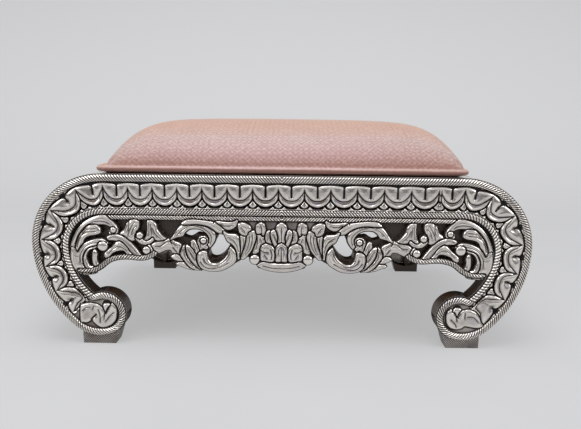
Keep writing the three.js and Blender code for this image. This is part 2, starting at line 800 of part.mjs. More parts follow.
function add(parent, name, geometry, material) {
  const mesh = new THREE.Mesh(geometry, material);
  mesh.name = name;
  parent.add(mesh);
}

// Each frame is drawn facing the front with its crests at depth zero. The rear one
// is the same frame turned round, so its left and right change places.
for (const [end, facing] of [['front', 1], ['rear', -1]]) {
  const frame = new THREE.Group();
  frame.rotation.z = facing > 0 ? 0 : Math.PI;
  frame.position.y = -facing * halfDepth;
  bench.add(frame);
  add(frame, `${end}_rail_core`, railCore(), darkWood());
  add(frame, `${end}_rail_sheet`, railSheet(), silver());
  add(frame, `${end}_apron_core`, apronCore(), darkWood());
  add(frame, `${end}_apron_sheet`, apronSheet(), silver());
  for (const [hand, sign] of [['left', -1], ['right', 1]]) {
    const side = sign * facing;
    add(frame, `${end}_${hand}_leg_core`, legCore(side), darkWood());
    add(frame, `${end}_${hand}_leg_sheet`, legSheet(side), silver());
    add(frame, `${end}_${hand}_foot_block`, footBlock(side), darkWood());
    add(frame, `${end}_${hand}_foot_sheet`, footSheet(side), silver());
    add(frame, `${end}_${hand}_apron_dowel`, apronDowels(0)[side < 0 ? 0 : 1], darkWood());
  }
}

for (const [hand, side] of [['left', -1], ['right', 1]]) {
  add(bench, `${hand}_end_panel`, endPanel(side), darkWood());
  add(bench, `${hand}_end_sheet`, endSheet(side), silver());
  add(bench, `${hand}_deck_batten`, sideBatten(side), darkWood());
  add(bench, `front_${hand}_corner_block`, cornerBlock(side, -1), darkWood());
  add(bench, `rear_${hand}_corner_block`, cornerBlock(side, 1), darkWood());
}

add(bench, 'seat_deck', deck(), plywood());
add(bench, 'front_deck_cleat', deckCleat(-1), darkWood());
add(bench, 'rear_deck_cleat', deckCleat(1), darkWood());
deckScrewPlaces.forEach((place, i) => add(bench, `deck_screw_${i + 1}`, deckScrew(place, 0), steel()));

add(bench, 'cushion_board', cushionBoard(), plywood());
add(bench, 'cushion_foam', cushionFoam(), foam());
add(bench, 'cushion_cover', cushionCover(), satin());
add(bench, 'cushion_welt', cushionWelt(), piping());
add(bench, 'cushion_dust_cloth', cushionDustCloth(), dustCloth());
cushionScrewPlaces.forEach((place, i) =>
  add(bench, `cushion_screw_${i + 1}`, cushionScrew(place), steel()));

export default bench;
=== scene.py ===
# %% [markdown]
# A kneeling bench in silver and satin
#
# This lesson dresses a low kneeling bench. Its frame is carved wood, clad in silver sheet
# that was hammered over the carving and chased with fine lines. A crowned satin cushion
# lies on top. The measured frame is loaded first, and every piece is then made as a surface
# worked out with numpy, in millimetres, and turned into metres only when its mesh is made.

# %% Load the frame
import math

import bmesh
import bpy
import numpy as np
from mathutils import Matrix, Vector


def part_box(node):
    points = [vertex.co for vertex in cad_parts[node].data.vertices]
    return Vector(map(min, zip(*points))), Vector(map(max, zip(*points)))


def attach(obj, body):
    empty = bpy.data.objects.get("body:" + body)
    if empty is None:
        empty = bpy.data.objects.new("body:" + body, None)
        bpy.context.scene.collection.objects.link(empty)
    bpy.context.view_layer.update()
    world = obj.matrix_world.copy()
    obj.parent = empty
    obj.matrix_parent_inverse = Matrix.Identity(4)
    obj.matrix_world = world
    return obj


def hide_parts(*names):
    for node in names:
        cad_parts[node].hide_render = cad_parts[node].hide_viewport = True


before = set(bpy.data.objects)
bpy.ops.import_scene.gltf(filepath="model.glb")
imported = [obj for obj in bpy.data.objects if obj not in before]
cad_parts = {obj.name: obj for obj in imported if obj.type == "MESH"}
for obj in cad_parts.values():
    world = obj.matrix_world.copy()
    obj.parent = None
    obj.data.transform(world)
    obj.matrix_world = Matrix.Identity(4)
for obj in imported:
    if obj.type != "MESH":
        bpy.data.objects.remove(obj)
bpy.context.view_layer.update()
MM = 0.001


def box_mm(node):
    """The lowest and highest corners of a node of the frame, in millimetres."""
    low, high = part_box(node)
    return np.array(low) / MM, np.array(high) / MM


print("frame nodes:", len(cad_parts))

# %% [markdown]
# The camera
#
# The photograph was taken from a little above and almost straight in front. Blender wants a
# matrix whose columns are the camera's right, up and back directions, so they are worked out
# from three plain angles. The lens follows from a focal length measured in pixels.

# %% Camera
PHOTO_WIDTH = 581
FOCAL_PIXELS = 506
SENSOR = 36
CAMERA_PLACE = np.array([14, -773.5, 283.6])
CAMERA_PITCH, CAMERA_YAW, CAMERA_ROLL = np.radians([10.77, -0.32, 0.69])


def camera_axes(pitch, yaw, roll):
    """Right, up and back: forward from yaw and pitch, then right and up turned by the roll."""
    forward = np.array([
        math.sin(yaw) * math.cos(pitch), math.cos(yaw) * math.cos(pitch), -math.sin(pitch),
    ])
    level = np.array([math.cos(yaw), -math.sin(yaw), 0])
    rise = np.cross(level, forward)
    right = math.cos(roll) * level + math.sin(roll) * rise
    return right, np.cross(right, forward), -forward


camera_data = bpy.data.cameras.new("camera")
camera_data.sensor_width = SENSOR
camera_data.lens = FOCAL_PIXELS / PHOTO_WIDTH * SENSOR
camera_data.clip_start = 0.01
camera = bpy.data.objects.new("camera", camera_data)
camera_turn = np.eye(4)
camera_turn[:3, :3] = np.stack(camera_axes(CAMERA_PITCH, CAMERA_YAW, CAMERA_ROLL), axis=1)
camera_turn[:3, 3] = CAMERA_PLACE * MM
camera.matrix_world = Matrix(camera_turn.tolist())
bpy.context.scene.collection.objects.link(camera)
bpy.context.scene.camera = camera
bpy.context.scene.view_settings.view_transform = "Standard"
print("lens", round(camera_data.lens, 2), "mm")

# %% [markdown]
# Making meshes
#
# Every new piece goes through one function. It takes whole arrays of points and faces, and
# an optional value for each point, such as how tarnished the silver is there. Edges sharper
# than a set angle stay crisp and the rest are shaded smooth.

# %% Mesh from arrays


def make_piece(name, points, faces, material, values=None, sharp=50):
    """A mesh object from points in millimetres and faces as rows of point numbers."""
    mesh = bpy.data.meshes.new(name)
    mesh.from_pydata((np.asarray(points, float) * MM).tolist(), [], faces)
    mesh.validate()
    for key, value in (values or {}).items():
        mesh.attributes.new(key, "FLOAT", "POINT").data.foreach_set("value", np.float32(value))
    piece = bpy.data.objects.new(name, mesh)
    bpy.context.scene.collection.objects.link(piece)
    mesh.materials.append(material)
    mesh.shade_smooth()
    mesh.set_sharp_from_angle(angle=math.radians(sharp))
    return piece


def close_piece(piece, sharp=50):
    """Fills each open rim of a mesh with flat triangles and turns all faces outwards."""
    work = bmesh.new()
    work.from_mesh(piece.data)
    rims = [edge for edge in work.edges if len(edge.link_faces) == 1]
    if rims:
        bmesh.ops.triangle_fill(work, use_beauty=False, use_dissolve=False, edges=rims)
    bmesh.ops.recalc_face_normals(work, faces=work.faces)
    work.to_mesh(piece.data)
    work.free()
    piece.data.shade_smooth()
    piece.data.set_sharp_from_angle(angle=math.radians(sharp))
    return piece


def grid_faces(rows, columns, wrap=False):
    """Four-cornered faces between the points of a grid, in rows. A wrapped grid closes on itself."""
    across = np.arange(columns if wrap else columns - 1)
    a = (np.arange(rows - 1)[:, None] * columns + across).ravel()
    b = (np.arange(rows - 1)[:, None] * columns + (across + 1) % columns).ravel()
    return np.stack([a, b, b + columns, a + columns], axis=1).tolist()


# %% [markdown]
# Finishes
#
# Silver, wood, satin and the rest are node materials. Two effects are shared, so each is a
# node group: a fine speckle of light and dark, and a grain that runs along one direction.
# They read Object coordinates, which here are the same as places on the bench.

# %% Helpers for node materials


class Nodes:
    """A short way to add nodes to a tree and to link or set their inputs."""

    def __init__(self, tree):
        self.tree = tree

    def add(self, kind, inputs=None, **settings):
        """A new node. Its settings are made first, then its inputs are linked or set."""
        node = self.tree.nodes.new(kind)
        for key, value in settings.items():
            setattr(node, key, value)
        for key, value in (inputs or {}).items():
            if isinstance(value, bpy.types.NodeSocket):
                self.tree.links.new(value, node.inputs[key])
            else:
                node.inputs[key].default_value = value
        return node

    def mix(self, share, first, second, blend="MIX"):
        """Two colours mixed, or multiplied and so on, by a share."""
        inputs = {0: share, 6: first, 7: second}
        return self.add("ShaderNodeMix", inputs, data_type="RGBA", blend_type=blend).outputs[2]

    def sum(self, operation, first, second=0.0, clamp=False):
        """One step of arithmetic, named by its operation, on one or two numbers."""
        inputs = {0: first, 1: second}
        return self.add("ShaderNodeMath", inputs, operation=operation, use_clamp=clamp).outputs[0]

    def vector(self, operation, first, second):
        """The same for two directions, part by part."""
        inputs = {0: first, 1: second}
        return self.add("ShaderNodeVectorMath", inputs, operation=operation).outputs[0]

    def ramp(self, value, low, high, to_low=0.0, to_high=1.0):
        """A value carried from one span to another and held within it."""
        inputs = {0: value, 1: low, 2: high, 3: to_low, 4: to_high}
        return self.add("ShaderNodeMapRange", inputs, clamp=True).outputs[0]

    def noise(self, vector, scale, detail=3.0, rough=0.5):
        """Cloudy noise, mostly between 0.3 and 0.7."""
        inputs = {"Vector": vector, "Scale": scale, "Detail": detail, "Roughness": rough}
        return self.add("ShaderNodeTexNoise", inputs).outputs[0]

    def bump(self, height, strength, distance):
        """The direction a surface seems to face when a height is pressed into it."""
        inputs = {"Strength": strength, "Distance": distance, "Height": height}
        return self.add("ShaderNodeBump", inputs).outputs[0]

    def stops(self, value, colours):
        """A value turned into a colour by a list of stops, each a share and the colour there."""
        node = self.add("ShaderNodeValToRGB", {0: value})
        while len(node.color_ramp.elements) < len(colours):
            node.color_ramp.elements.new(0.5)
        for stop, (share, colour) in zip(node.color_ramp.elements, colours):
            stop.position = share
            stop.color = colour
        return node.outputs[0]


def node_group(name, inputs, outputs):
    """An empty node group with the named number, colour or direction sockets."""
    group = bpy.data.node_groups.new(name, "ShaderNodeTree")
    for socket, kind, value in inputs:
        made = group.interface.new_socket(socket, in_out="INPUT", socket_type="NodeSocket" + kind)
        if value is not None:
            made.default_value = value
    for socket, kind in outputs:
        group.interface.new_socket(socket, in_out="OUTPUT", socket_type="NodeSocket" + kind)
    kit = Nodes(group)
    return group, kit, kit.add("NodeGroupInput"), kit.add("NodeGroupOutput")


def new_material(name, **sockets):
    """A material with a Principled shader whose plain sockets are set. Returns it and its nodes."""
    material = bpy.data.materials.new(name)
    material.use_nodes = True
    tree = material.node_tree
    shader = tree.nodes["Principled BSDF"]
    for key, value in sockets.items():
        shader.inputs[key.replace("_", " ")].default_value = value
    kit = Nodes(tree)
    place = kit.add("ShaderNodeTexCoord").outputs["Object"]
    return material, kit, shader, place


def wire(kit, node, **links):
    """Links sockets to the named inputs of a node, such as a material's shader."""
    for key, socket in links.items():
        kit.tree.links.new(socket, node.inputs[key.replace("_", " ")])


# %% Shared effects: speckle and grain
SPECKLE, kit, given, out = node_group(
    "speckle", [("Vector", "Vector", None), ("Scale", "Float", 300.0), ("Depth", "Float", 0.2)],
    [("Value", "Float"), ("Normal", "Vector")],
)
fine = kit.noise(given.outputs["Vector"], given.outputs["Scale"], 4.0, 0.6)
coarse = kit.noise(given.outputs["Vector"], kit.sum("MULTIPLY", given.outputs["Scale"], 0.13), 2.0)
value = kit.sum("ADD", kit.sum("MULTIPLY", fine, 0.5), kit.sum("MULTIPLY", coarse, 0.5))
wire(kit, out, Value=value, Normal=kit.bump(fine, given.outputs["Depth"], 0.0004))

GRAIN, kit, given, out = node_group(
    "grain", [("Vector", "Vector", None), ("Stretch", "Vector", (6.0, 90.0, 90.0))],
    [("Value", "Float"), ("Normal", "Vector")],
)
run = kit.vector("MULTIPLY", given.outputs["Vector"], given.outputs["Stretch"])
wavy = kit.vector("ADD", run, kit.noise(run, 0.6, 2.0))
fibre = kit.noise(wavy, 3.0, 5.0, 0.65)
wire(kit, out, Value=fibre, Normal=kit.bump(fibre, 0.25, 0.0005))


def shared(kit, group, **inputs):
    """Places a shared effect in a material and sets or links its inputs."""
    node = kit.add("ShaderNodeGroup", inputs, node_tree=group)
    return node.outputs["Value"], node.outputs["Normal"]


print("shared effects:", [group.name for group in bpy.data.node_groups])

# %% [markdown]
# Silver sheet
#
# The crests of old silver are rubbed bright and its hollows are dark with tarnish. Each
# silver mesh carries a value called tarnish_and_shade, from 0 on the crests to 1 in the chased lines.
# On the rail and legs it also holds painted shade, in a band under each lobe's top and in the lobes'
# hollows.
# The colour and the roughness both follow it, broken up by the speckle.

# %% Silver
SILVER_BRIGHT = (0.84, 0.80, 0.755, 1)
SILVER_FACE = (0.48, 0.445, 0.40, 1)
SILVER_WARM = (0.25, 0.205, 0.178, 1)
SILVER_LILAC = (0.35, 0.315, 0.37, 1)
SILVER_DARK = (0.010, 0.008, 0.007, 1)


def silver_material(name):
    """Silver whose tarnish and painted shade come from the mesh: rubbed crests, dulled faces, dark hollows.
    """
    material, kit, shader, place = new_material(name, Metallic=1.0)
    tarnish_and_shade = kit.add("ShaderNodeAttribute", None, attribute_name="tarnish_and_shade").outputs["Fac"]
    speck, normal = shared(kit, SPECKLE, Vector=place, Scale=420.0, Depth=0.2)
    cloud = kit.noise(place, 36.0, 3.0)
    uneven = kit.sum("MULTIPLY", kit.sum("SUBTRACT", speck, 0.5), 0.3)
    soft = kit.sum("ADD", tarnish_and_shade, uneven)
    face = kit.mix(kit.ramp(cloud, 0.4, 0.62), SILVER_FACE, SILVER_WARM)
    face = kit.mix(kit.ramp(kit.noise(place, 75.0, 2.0), 0.52, 0.66, 0.0, 0.8), face, SILVER_LILAC)
    rubbed = kit.mix(kit.ramp(soft, 0.1, 0.42), SILVER_BRIGHT, face)
    dark = kit.ramp(soft, 0.42, 0.8)
    colour = kit.mix(dark, rubbed, SILVER_DARK)
    rough = kit.sum("ADD", kit.ramp(soft, 0.1, 0.8, 0.13, 0.55), kit.sum("MULTIPLY", speck, 0.1))
    metal = kit.ramp(dark, 0.0, 1.0, 1.0, 0.3)
    wire(kit, shader, Base_Color=colour, Roughness=rough, Normal=normal, Metallic=metal)
    return material


silver = silver_material("embossed_silver")
print("silver has", len(silver.node_tree.nodes), "nodes")

# %% [markdown]
# Wood, cloth and fasteners
#
# The boards are dark stained hardwood with a little shine, and bronze tints where the stain
# has rubbed off. The deck and the cushion's base are bare plywood. The satin has a small
# woven figure of diamonds and dots, which is raised a little and shines in another way than
# its ground, so it is painted and bumped on the cushion's own UV map, in metres of cloth.
# A ramp over the way a place faces paints light on it: painted brown shade where it stands upright, a
# painted lilac highlight where it turns over and peach where it faces up.

# %% Wood and plywood
WOOD_DARK = (0.030, 0.018, 0.012, 1)
WOOD_WARM = (0.13, 0.075, 0.042, 1)
PLYWOOD_DARK = (0.36, 0.23, 0.12, 1)
PLYWOOD_PALE = (0.56, 0.39, 0.23, 1)


def wood_material(name, dark, warm, stretch, rough, shine):
    """Wood whose colour runs between two browns along its grain."""
    material, kit, shader, place = new_material(name, Coat_Weight=shine, Coat_Roughness=0.25)
    fibre, normal = shared(kit, GRAIN, Vector=place, Stretch=stretch)
    patch = kit.noise(place, 22.0, 3.0)
    warmth = kit.sum("MULTIPLY", kit.ramp(fibre, 0.35, 0.7), kit.ramp(patch, 0.4, 0.68, 0.25, 1.0))
    colour = kit.mix(warmth, dark, warm)
    wire(kit, shader, Base_Color=colour, Roughness=kit.ramp(fibre, 0.2, 0.8, rough, rough + 0.2),
         Normal=normal)
    return material


dark_wood = wood_material("dark_wood", WOOD_DARK, WOOD_WARM, (5.0, 60.0, 90.0), 0.34, 0.25)
plywood = wood_material("plywood", PLYWOOD_DARK, PLYWOOD_PALE, (4.0, 60.0, 160.0), 0.55, 0.0)
print("woods:", dark_wood.name, plywood.name)

# %% Satin
SATIN_GROUND = (0.587, 0.342, 0.266, 1)
SATIN_FIGURE = (0.80, 0.543, 0.467, 1)
PIPING_GROUND = (0.71, 0.44, 0.355, 1)
PIPING_THREAD = (0.90, 0.62, 0.52, 1)
FIGURE_PITCH = 0.013
THREAD_PITCH = 0.0007
# Painted light on the satin by the way it faces: painted brown shade where cloth stands upright, a painted
# lilac highlight where it turns over, peach where it faces up
SATIN_PAINTED_LIGHT = [
    (0.30, (0.48, 0.39, 0.35, 1)),
    (0.50, (0.55, 0.45, 0.385, 1)),
    (0.72, (0.66, 0.64, 0.645, 1)),
    (0.89, (0.79, 0.91, 1.0, 1)),
    (0.985, (0.86, 0.81, 0.71, 1)),
]


def woven_figure(kit, u, v):
    """A mask that is 1 on the figure: a trellis, a knot where its lines cross and a flower in
    each diamond. Two slanting counts, u plus v and u less v, are whole on the trellis."""
    rising = kit.sum("DIVIDE", kit.sum("ADD", u, v), FIGURE_PITCH)
    falling = kit.sum("DIVIDE", kit.sum("SUBTRACT", u, v), FIGURE_PITCH)
    from_line = [kit.sum("PINGPONG", count, 0.5) for count in (rising, falling)]
    trellis = kit.ramp(kit.sum("MINIMUM", *from_line), 0.05, 0.1, 1.0, 0.0)
    from_middle = [kit.sum("SUBTRACT", 0.5, gap) for gap in from_line]
    squares = [kit.sum("MULTIPLY", gap, gap) for gap in from_middle]
    round_gap = kit.sum("POWER", kit.sum("ADD", *squares), 0.5)
    cross_gap = kit.sum("MULTIPLY", kit.sum("MINIMUM", *from_middle), 2.2)
    flower = kit.ramp(kit.sum("ADD", round_gap, cross_gap), 0.24, 0.32, 1.0, 0.0)
    knot = kit.ramp(kit.sum("MAXIMUM", *from_line), 0.12, 0.17, 1.0, 0.0)
    return kit.sum("MAXIMUM", kit.sum("MAXIMUM", kit.sum("MULTIPLY", trellis, 0.7), flower), knot)


def painted_satin_light(kit):
    """Painted light on the satin by the way it faces: peach from above, a painted lilac highlight
    where it turns over and painted brown shade where it stands upright."""
    way = kit.add("ShaderNodeSeparateXYZ", {0: kit.add("ShaderNodeNewGeometry").outputs["Normal"]})
    sideways = kit.sum("POWER", kit.sum("ABSOLUTE", way.outputs[0]), 2.0)
    lie = kit.sum("ADD", way.outputs[2], kit.sum("MULTIPLY", sideways, 0.5))
    return kit.stops(lie, SATIN_PAINTED_LIGHT)


def satin_material(name, figured, ground, figure):
    """Satin read from a UV map in metres. Figured is 1 with the woven figure and 0 without."""
    material, kit, shader, _ = new_material(
        name, Sheen_Weight=0.12, Sheen_Roughness=0.4, Sheen_Tint=(1.0, 0.8, 0.68, 1),
        Specular_IOR_Level=0.9, Specular_Tint=(0.9, 0.78, 1.0, 1),
    )
    cloth = kit.add("ShaderNodeUVMap", None, uv_map="cloth").outputs[0]
    parts = kit.add("ShaderNodeSeparateXYZ", {0: cloth})
    u, v = parts.outputs[0], parts.outputs[1]
    mask = kit.sum("MULTIPLY", woven_figure(kit, u, v), figured)
    # The ground's threads run one way and the figure's the other
    weft = kit.sum("SINE", kit.sum("MULTIPLY", v, 2 * math.pi / THREAD_PITCH))
    warp = kit.sum("SINE", kit.sum("MULTIPLY", u, 2 * math.pi / THREAD_PITCH))
    threads = kit.sum("ADD", kit.sum("MULTIPLY", mask, kit.sum("SUBTRACT", warp, weft)), weft)
    height = kit.sum("ADD", kit.sum("MULTIPLY", mask, 0.7), kit.sum("MULTIPLY", threads, 0.1))
    # Slubs are thick stretches of a thread, so their noise is drawn out along the weft
    slub = kit.noise(kit.vector("MULTIPLY", cloth, (60.0, 700.0, 0.0)), 1.0, 3.0)
    height = kit.sum("ADD", height, kit.sum("MULTIPLY", slub, 0.5))
    woven = kit.bump(height, 0.55, 0.0004)
    cloud = kit.noise(cloth, 30.0, 3.0)
    mottle = kit.noise(cloth, 290.0, 2.0)
    tone = kit.sum("ADD", kit.sum("MULTIPLY", mask, 0.62), kit.ramp(cloud, 0.3, 0.7, 0.0, 0.22))
    tone = kit.sum("ADD", tone, kit.ramp(mottle, 0.38, 0.62, -0.26, 0.42))
    tone = kit.sum("ADD", tone, kit.ramp(slub, 0.3, 0.7, -0.16, 0.2), clamp=True)
    colour = kit.mix(tone, ground, figure)
    # Painted light: the colour is multiplied by painted shade where the cloth stands upright and by a
    # painted lilac highlight where it turns over
    colour = kit.mix(1.0, colour, painted_satin_light(kit), "MULTIPLY")
    rough = kit.ramp(mask, 0.0, 1.0, 0.40, 0.30)
    wire(kit, shader, Base_Color=colour, Roughness=rough, Normal=woven)
    return material


satin = satin_material("figured_satin", 1.0, SATIN_GROUND, SATIN_FIGURE)
piping_satin = satin_material("piping_satin", 0.0, PIPING_GROUND, PIPING_THREAD)
print("satin figure every", FIGURE_PITCH / MM, "mm")

# %% Lining and steel
LINING_DARK, LINING_PALE = (0.006, 0.006, 0.006, 1), (0.02, 0.019, 0.018, 1)
STEEL_DULL, STEEL_BRIGHT = (0.42, 0.42, 0.41, 1), (0.62, 0.62, 0.6, 1)
lining, kit, shader, place = new_material("dust_lining")
weave, normal = shared(kit, SPECKLE, Vector=place, Scale=900.0, Depth=0.5)
wire(kit, shader, Base_Color=kit.mix(weave, LINING_DARK, LINING_PALE),
     Roughness=kit.ramp(weave, 0.3, 0.7, 0.8, 1.0), Normal=normal)

steel, kit, shader, place = new_material("screw_steel", Metallic=1.0)
scuff, normal = shared(kit, SPECKLE, Vector=place, Scale=1500.0, Depth=0.15)
wire(kit, shader, Base_Color=kit.mix(scuff, STEEL_DULL, STEEL_BRIGHT),
     Roughness=kit.ramp(scuff, 0.3, 0.7, 0.25, 0.45), Normal=normal)
print("materials:", len(bpy.data.materials))

# %% [markdown]
# Lines and distances
#
# The carving is drawn with lines: arcs for the frame's edge and smooth curves for leaves and
# stems. One question comes up again and again: how far is each point of a grid from a line,
# and how far along it? The answer is worked out for all points at once, against points set
# closely along the line, and made exact with the line's own direction there.

# %% Arcs, curves and the nearest place on a line
LINE_STEP = 0.6


def arc(centre, radius, start, end):
    """Points of an arc: the centre plus the radius turned from one angle to the other."""
    count = max(3, int(abs(math.radians(end - start)) * radius / LINE_STEP) + 2)
    turn = np.radians(np.linspace(start, end, count))
    return np.stack([centre[0] + radius * np.cos(turn), centre[1] + radius * np.sin(turn)], axis=1)


def even(line, step=LINE_STEP):
    """The same line with points an even step apart."""
    steps = np.hypot(*np.diff(line, axis=0).T)
    line = line[np.append(True, steps > 1e-6)]
    length = np.append(0, np.cumsum(np.hypot(*np.diff(line, axis=0).T)))
    marks = np.linspace(0, length[-1], max(3, int(length[-1] / step) + 2))
    return np.stack([np.interp(marks, length, line[:, 0]), np.interp(marks, length, line[:, 1])], axis=1)


def smooth_line(points):
    """A Catmull-Rom curve: each stretch is a cubic of the four points round it."""
    p = np.asarray(points, float)
    p = np.vstack([2 * p[0] - p[1], p, 2 * p[-1] - p[-2]])
    t = np.linspace(0, 1, 16, endpoint=False)[:, None]
    a, b, c, d = (p[i:len(p) - 3 + i, None] for i in range(4))
    curve = 0.5 * (2 * b + (c - a) * t + (2 * a - 5 * b + 4 * c - d) * t**2
                   + (3 * b - a - 3 * c + d) * t**3)
    return even(np.vstack([curve.reshape(-1, 2), p[-2]]))


def nearest(x, z, line):
    """For each point: its distance to the line, the length along the line to its foot, and
    its offset, which is positive on the left of the line's direction."""
    step = np.diff(line, axis=0)
    ahead = np.vstack([step, step[-1:]])
    ahead /= np.hypot(*ahead.T)[:, None]
    length = np.append(0, np.cumsum(np.hypot(*step.T)))
    flat_x, flat_z = np.ravel(x).astype(np.float32), np.ravel(z).astype(np.float32)
    best = np.empty(flat_x.size, int)
    line_x, line_z = np.float32(line[:, 0]), np.float32(line[:, 1])
    chunk = max(1, 4_000_000 // len(line))
    for start in range(0, flat_x.size, chunk):
        part = slice(start, start + chunk)
        square = (flat_x[part, None] - line_x) ** 2 + (flat_z[part, None] - line_z) ** 2
        best[part] = square.argmin(axis=1)
    dx, dz = flat_x - line[best, 0], flat_z - line[best, 1]
    forward = np.clip(dx * ahead[best, 0] + dz * ahead[best, 1], -LINE_STEP, LINE_STEP)
    at_end = (best == 0) | (best == len(line) - 1)
    offset = ahead[best, 0] * dz - ahead[best, 1] * dx
    gap = np.where(at_end, np.hypot(dx, dz), np.abs(offset))
    shape = np.shape(x)
    return gap.reshape(shape), (length[best] + forward).reshape(shape), offset.reshape(shape)


def inside(x, z, outline):
    """Whether each point is within a closed outline: a ray from there to the right then
    crosses the outline an odd number of times."""
    flat_x, flat_z = np.ravel(x), np.ravel(z)
    odd = np.zeros(flat_x.size, bool)
    for (x0, z0), (x1, z1) in zip(outline, np.roll(outline, -1, axis=0)):
        if z0 == z1:
            continue
        crosses = (z0 > flat_z) != (z1 > flat_z)
        odd ^= crosses & (flat_x < x0 + (flat_z - z0) * (x1 - x0) / (z1 - z0))
    return odd.reshape(np.shape(x))


print("an arc of 90 degrees over 100 mm has", len(arc((0, 0), 100, 0, 90)), "points")

# %% [markdown]
# Relief
#
# Hammered silver is a height over a flat drawing. A relief holds four grids: where its points
# are, how high the metal stands, how dark it is, and how far each point lies outside the
# metal. Strokes are laid on it one after another, as a silversmith lays leaves, and each one
# pushes a dark line into what lies under its edge. The finished relief is cut out along its
# edge: the outermost points slide onto the edge, walls go back from them, and a flat back
# closes the sheet.

# %% The relief grid
FAR = 9.0
ECHO_GAP, ECHO_WIDTH = 2.3, 0.4


def crease(distance, width):
    """A chased line: 1 on it, and falling away on both sides as a bell curve."""
    return np.exp(-(distance / width) ** 2)


class Relief:
    """Heights, dark lines and edge distances over a grid in the drawing plane."""

    def __init__(self, low, high, cell):
        columns = int(round((high[0] - low[0]) / cell)) + 1
        rows = int(round((high[1] - low[1]) / cell)) + 1
        self.cell = cell
        self.low = np.array(low, float)
        self.x, self.z = np.meshgrid(low[0] + cell * np.arange(columns), low[1] + cell * np.arange(rows))
        self.height = np.zeros(self.x.shape)
        self.dark = np.zeros(self.x.shape)
        self.edge = np.full(self.x.shape, FAR)

    def mirror(self):
        """Turns a right-hand drawing into a left-hand one."""
        self.x = -self.x[:, ::-1]
        self.height, self.dark, self.edge = (
            grid[:, ::-1] for grid in (self.height, self.dark, self.edge)
        )
        self.low = np.array([self.x[0, 0], self.z[0, 0]])

    def double(self):
        """Adds the mirror image of a drawing that starts at the middle."""
        self.x = np.hstack([-self.x[:, :0:-1], self.x])
        self.z = np.hstack([self.z[:, :0:-1], self.z])
        self.height, self.dark, self.edge = (
            np.hstack([grid[:, :0:-1], grid]) for grid in (self.height, self.dark, self.edge)
        )
        self.low = np.array([self.x[0, 0], self.z[0, 0]])

    def window(self, low, high):
        """The slices of the grid that hold a box."""
        start = np.floor((np.array(low) - self.low) / self.cell).astype(int)
        stop = np.ceil((np.array(high) - self.low) / self.cell).astype(int) + 1
        start = np.clip(start, 0, None)
        return slice(start[1], max(stop[1], 0)), slice(start[0], max(stop[0], 0))

    def lay(self, part, outside, height, dark):
        """Lays a form over the relief. Outside is the distance out of the form, in which a
        line is pressed into what is there: the old height fades to the ground and darkens."""
        line = crease(outside - 0.25, 0.5) * (outside > 0)
        self.height[part] = np.where(outside < 0, height, self.height[part] * (1 - line))
        self.dark[part] = np.where(outside < 0, dark, np.maximum(self.dark[part], line))
        self.edge[part] = np.minimum(self.edge[part], outside)

    def leaf(self, outline, veins, rise=3.3, spread=0.75, echo=0.0):
        """A leaf drawn by its outline: its height rises from the edge and levels off, less
        the chased lines of its veins. An echo is two fine lines that follow the edge inside it."""
        points = np.asarray(outline, float).reshape(-1, 2)
        ring = smooth_line(np.vstack([points, points[:2]]))
        part = self.window(ring.min(axis=0) - 3, ring.max(axis=0) + 3)
        x, z = self.x[part], self.z[part]
        gap, _, _ = nearest(x, z, ring)
        outside = np.where(inside(x, z, ring), -gap, gap) - spread
        height = 0.9 + rise * (1 - np.exp(np.clip(outside, None, 0) / 1.5))
        along_edge = sum(crease(outside + times * ECHO_GAP, ECHO_WIDTH) for times in (1, 2))
        height = height - 0.6 * echo * along_edge
        dark = echo * along_edge
        for vein in veins:
            away, _, _ = nearest(x, z, smooth_line(np.reshape(vein, (-1, 2))))
            dark = np.maximum(dark, 0.85 * crease(away, 0.46))
            height = height - 0.7 * crease(away, 0.8) - 0.5 * crease(away, 2.0)
        self.lay(part, outside, height, dark)

    def pearl(self, place, radius, rise=3.4):
        """A round boss: the height of a ball over its middle."""
        reach = radius + 3
        part = self.window(np.array(place) - reach, np.array(place) + reach)
        x, z = self.x[part], self.z[part]
        if x.size == 0:
            return
        gap = np.hypot(x - place[0], z - place[1])
        height = 0.8 + rise * np.sqrt(1 - np.clip(gap / radius, 0, 1) ** 2)
        self.lay(part, gap - radius, height, 0.15 * np.clip(gap / radius, 0, 1) ** 6)


def blur(grid, count):
    """A soft copy of a grid: each value averaged with its neighbours, count steps away, three times."""
    for _ in range(3):
        for axis in (0, 1):
            pad = [(count + 1, count) if axis == i else (0, 0) for i in (0, 1)]
            total = np.cumsum(np.pad(grid, pad, mode="edge"), axis=axis)
            ends = [slice(None), slice(None)]
            starts = [slice(None), slice(None)]
            ends[axis] = slice(2 * count + 1, None)
            starts[axis] = slice(None, -2 * count - 1)
            grid = (total[tuple(ends)] - total[tuple(starts)]) / (2 * count + 1)
    return grid


# %% Cutting a relief out of its sheet
FACE_TARNISH, RIM_TARNISH = 0.36, 0.45


def solid_cells(edge):
    """Which cells of the grid are metal: those whose middle is within the edge. Cells that
    touch only at a corner are joined, so that the rim never crosses itself."""
    kept = (edge[:-1, :-1] + edge[1:, :-1] + edge[:-1, 1:] + edge[1:, 1:]) < 0
    for _ in range(3):
        slash = kept[:-1, 1:] & kept[1:, :-1] & ~kept[:-1, :-1] & ~kept[1:, 1:]
        other = kept[:-1, :-1] & kept[1:, 1:] & ~kept[:-1, 1:] & ~kept[1:, :-1]
        kept[:-1, :-1] |= slash
        kept[:-1, 1:] |= other
    return kept


def rim_edges(kept, numbers):
    """Pairs of points along the rim, where a kept cell meets an empty one."""
    wide = np.pad(kept, 1)
    side = wide[1:-1, :-1] != wide[1:-1, 1:]
    flat = wide[:-1, 1:-1] != wide[1:, 1:-1]
    row, column = np.nonzero(side)
    upright = np.stack([numbers[row, column], numbers[row + 1, column]], axis=1)
    row, column = np.nonzero(flat)
    level = np.stack([numbers[row, column], numbers[row, column + 1]], axis=1)
    return np.vstack([upright, level])


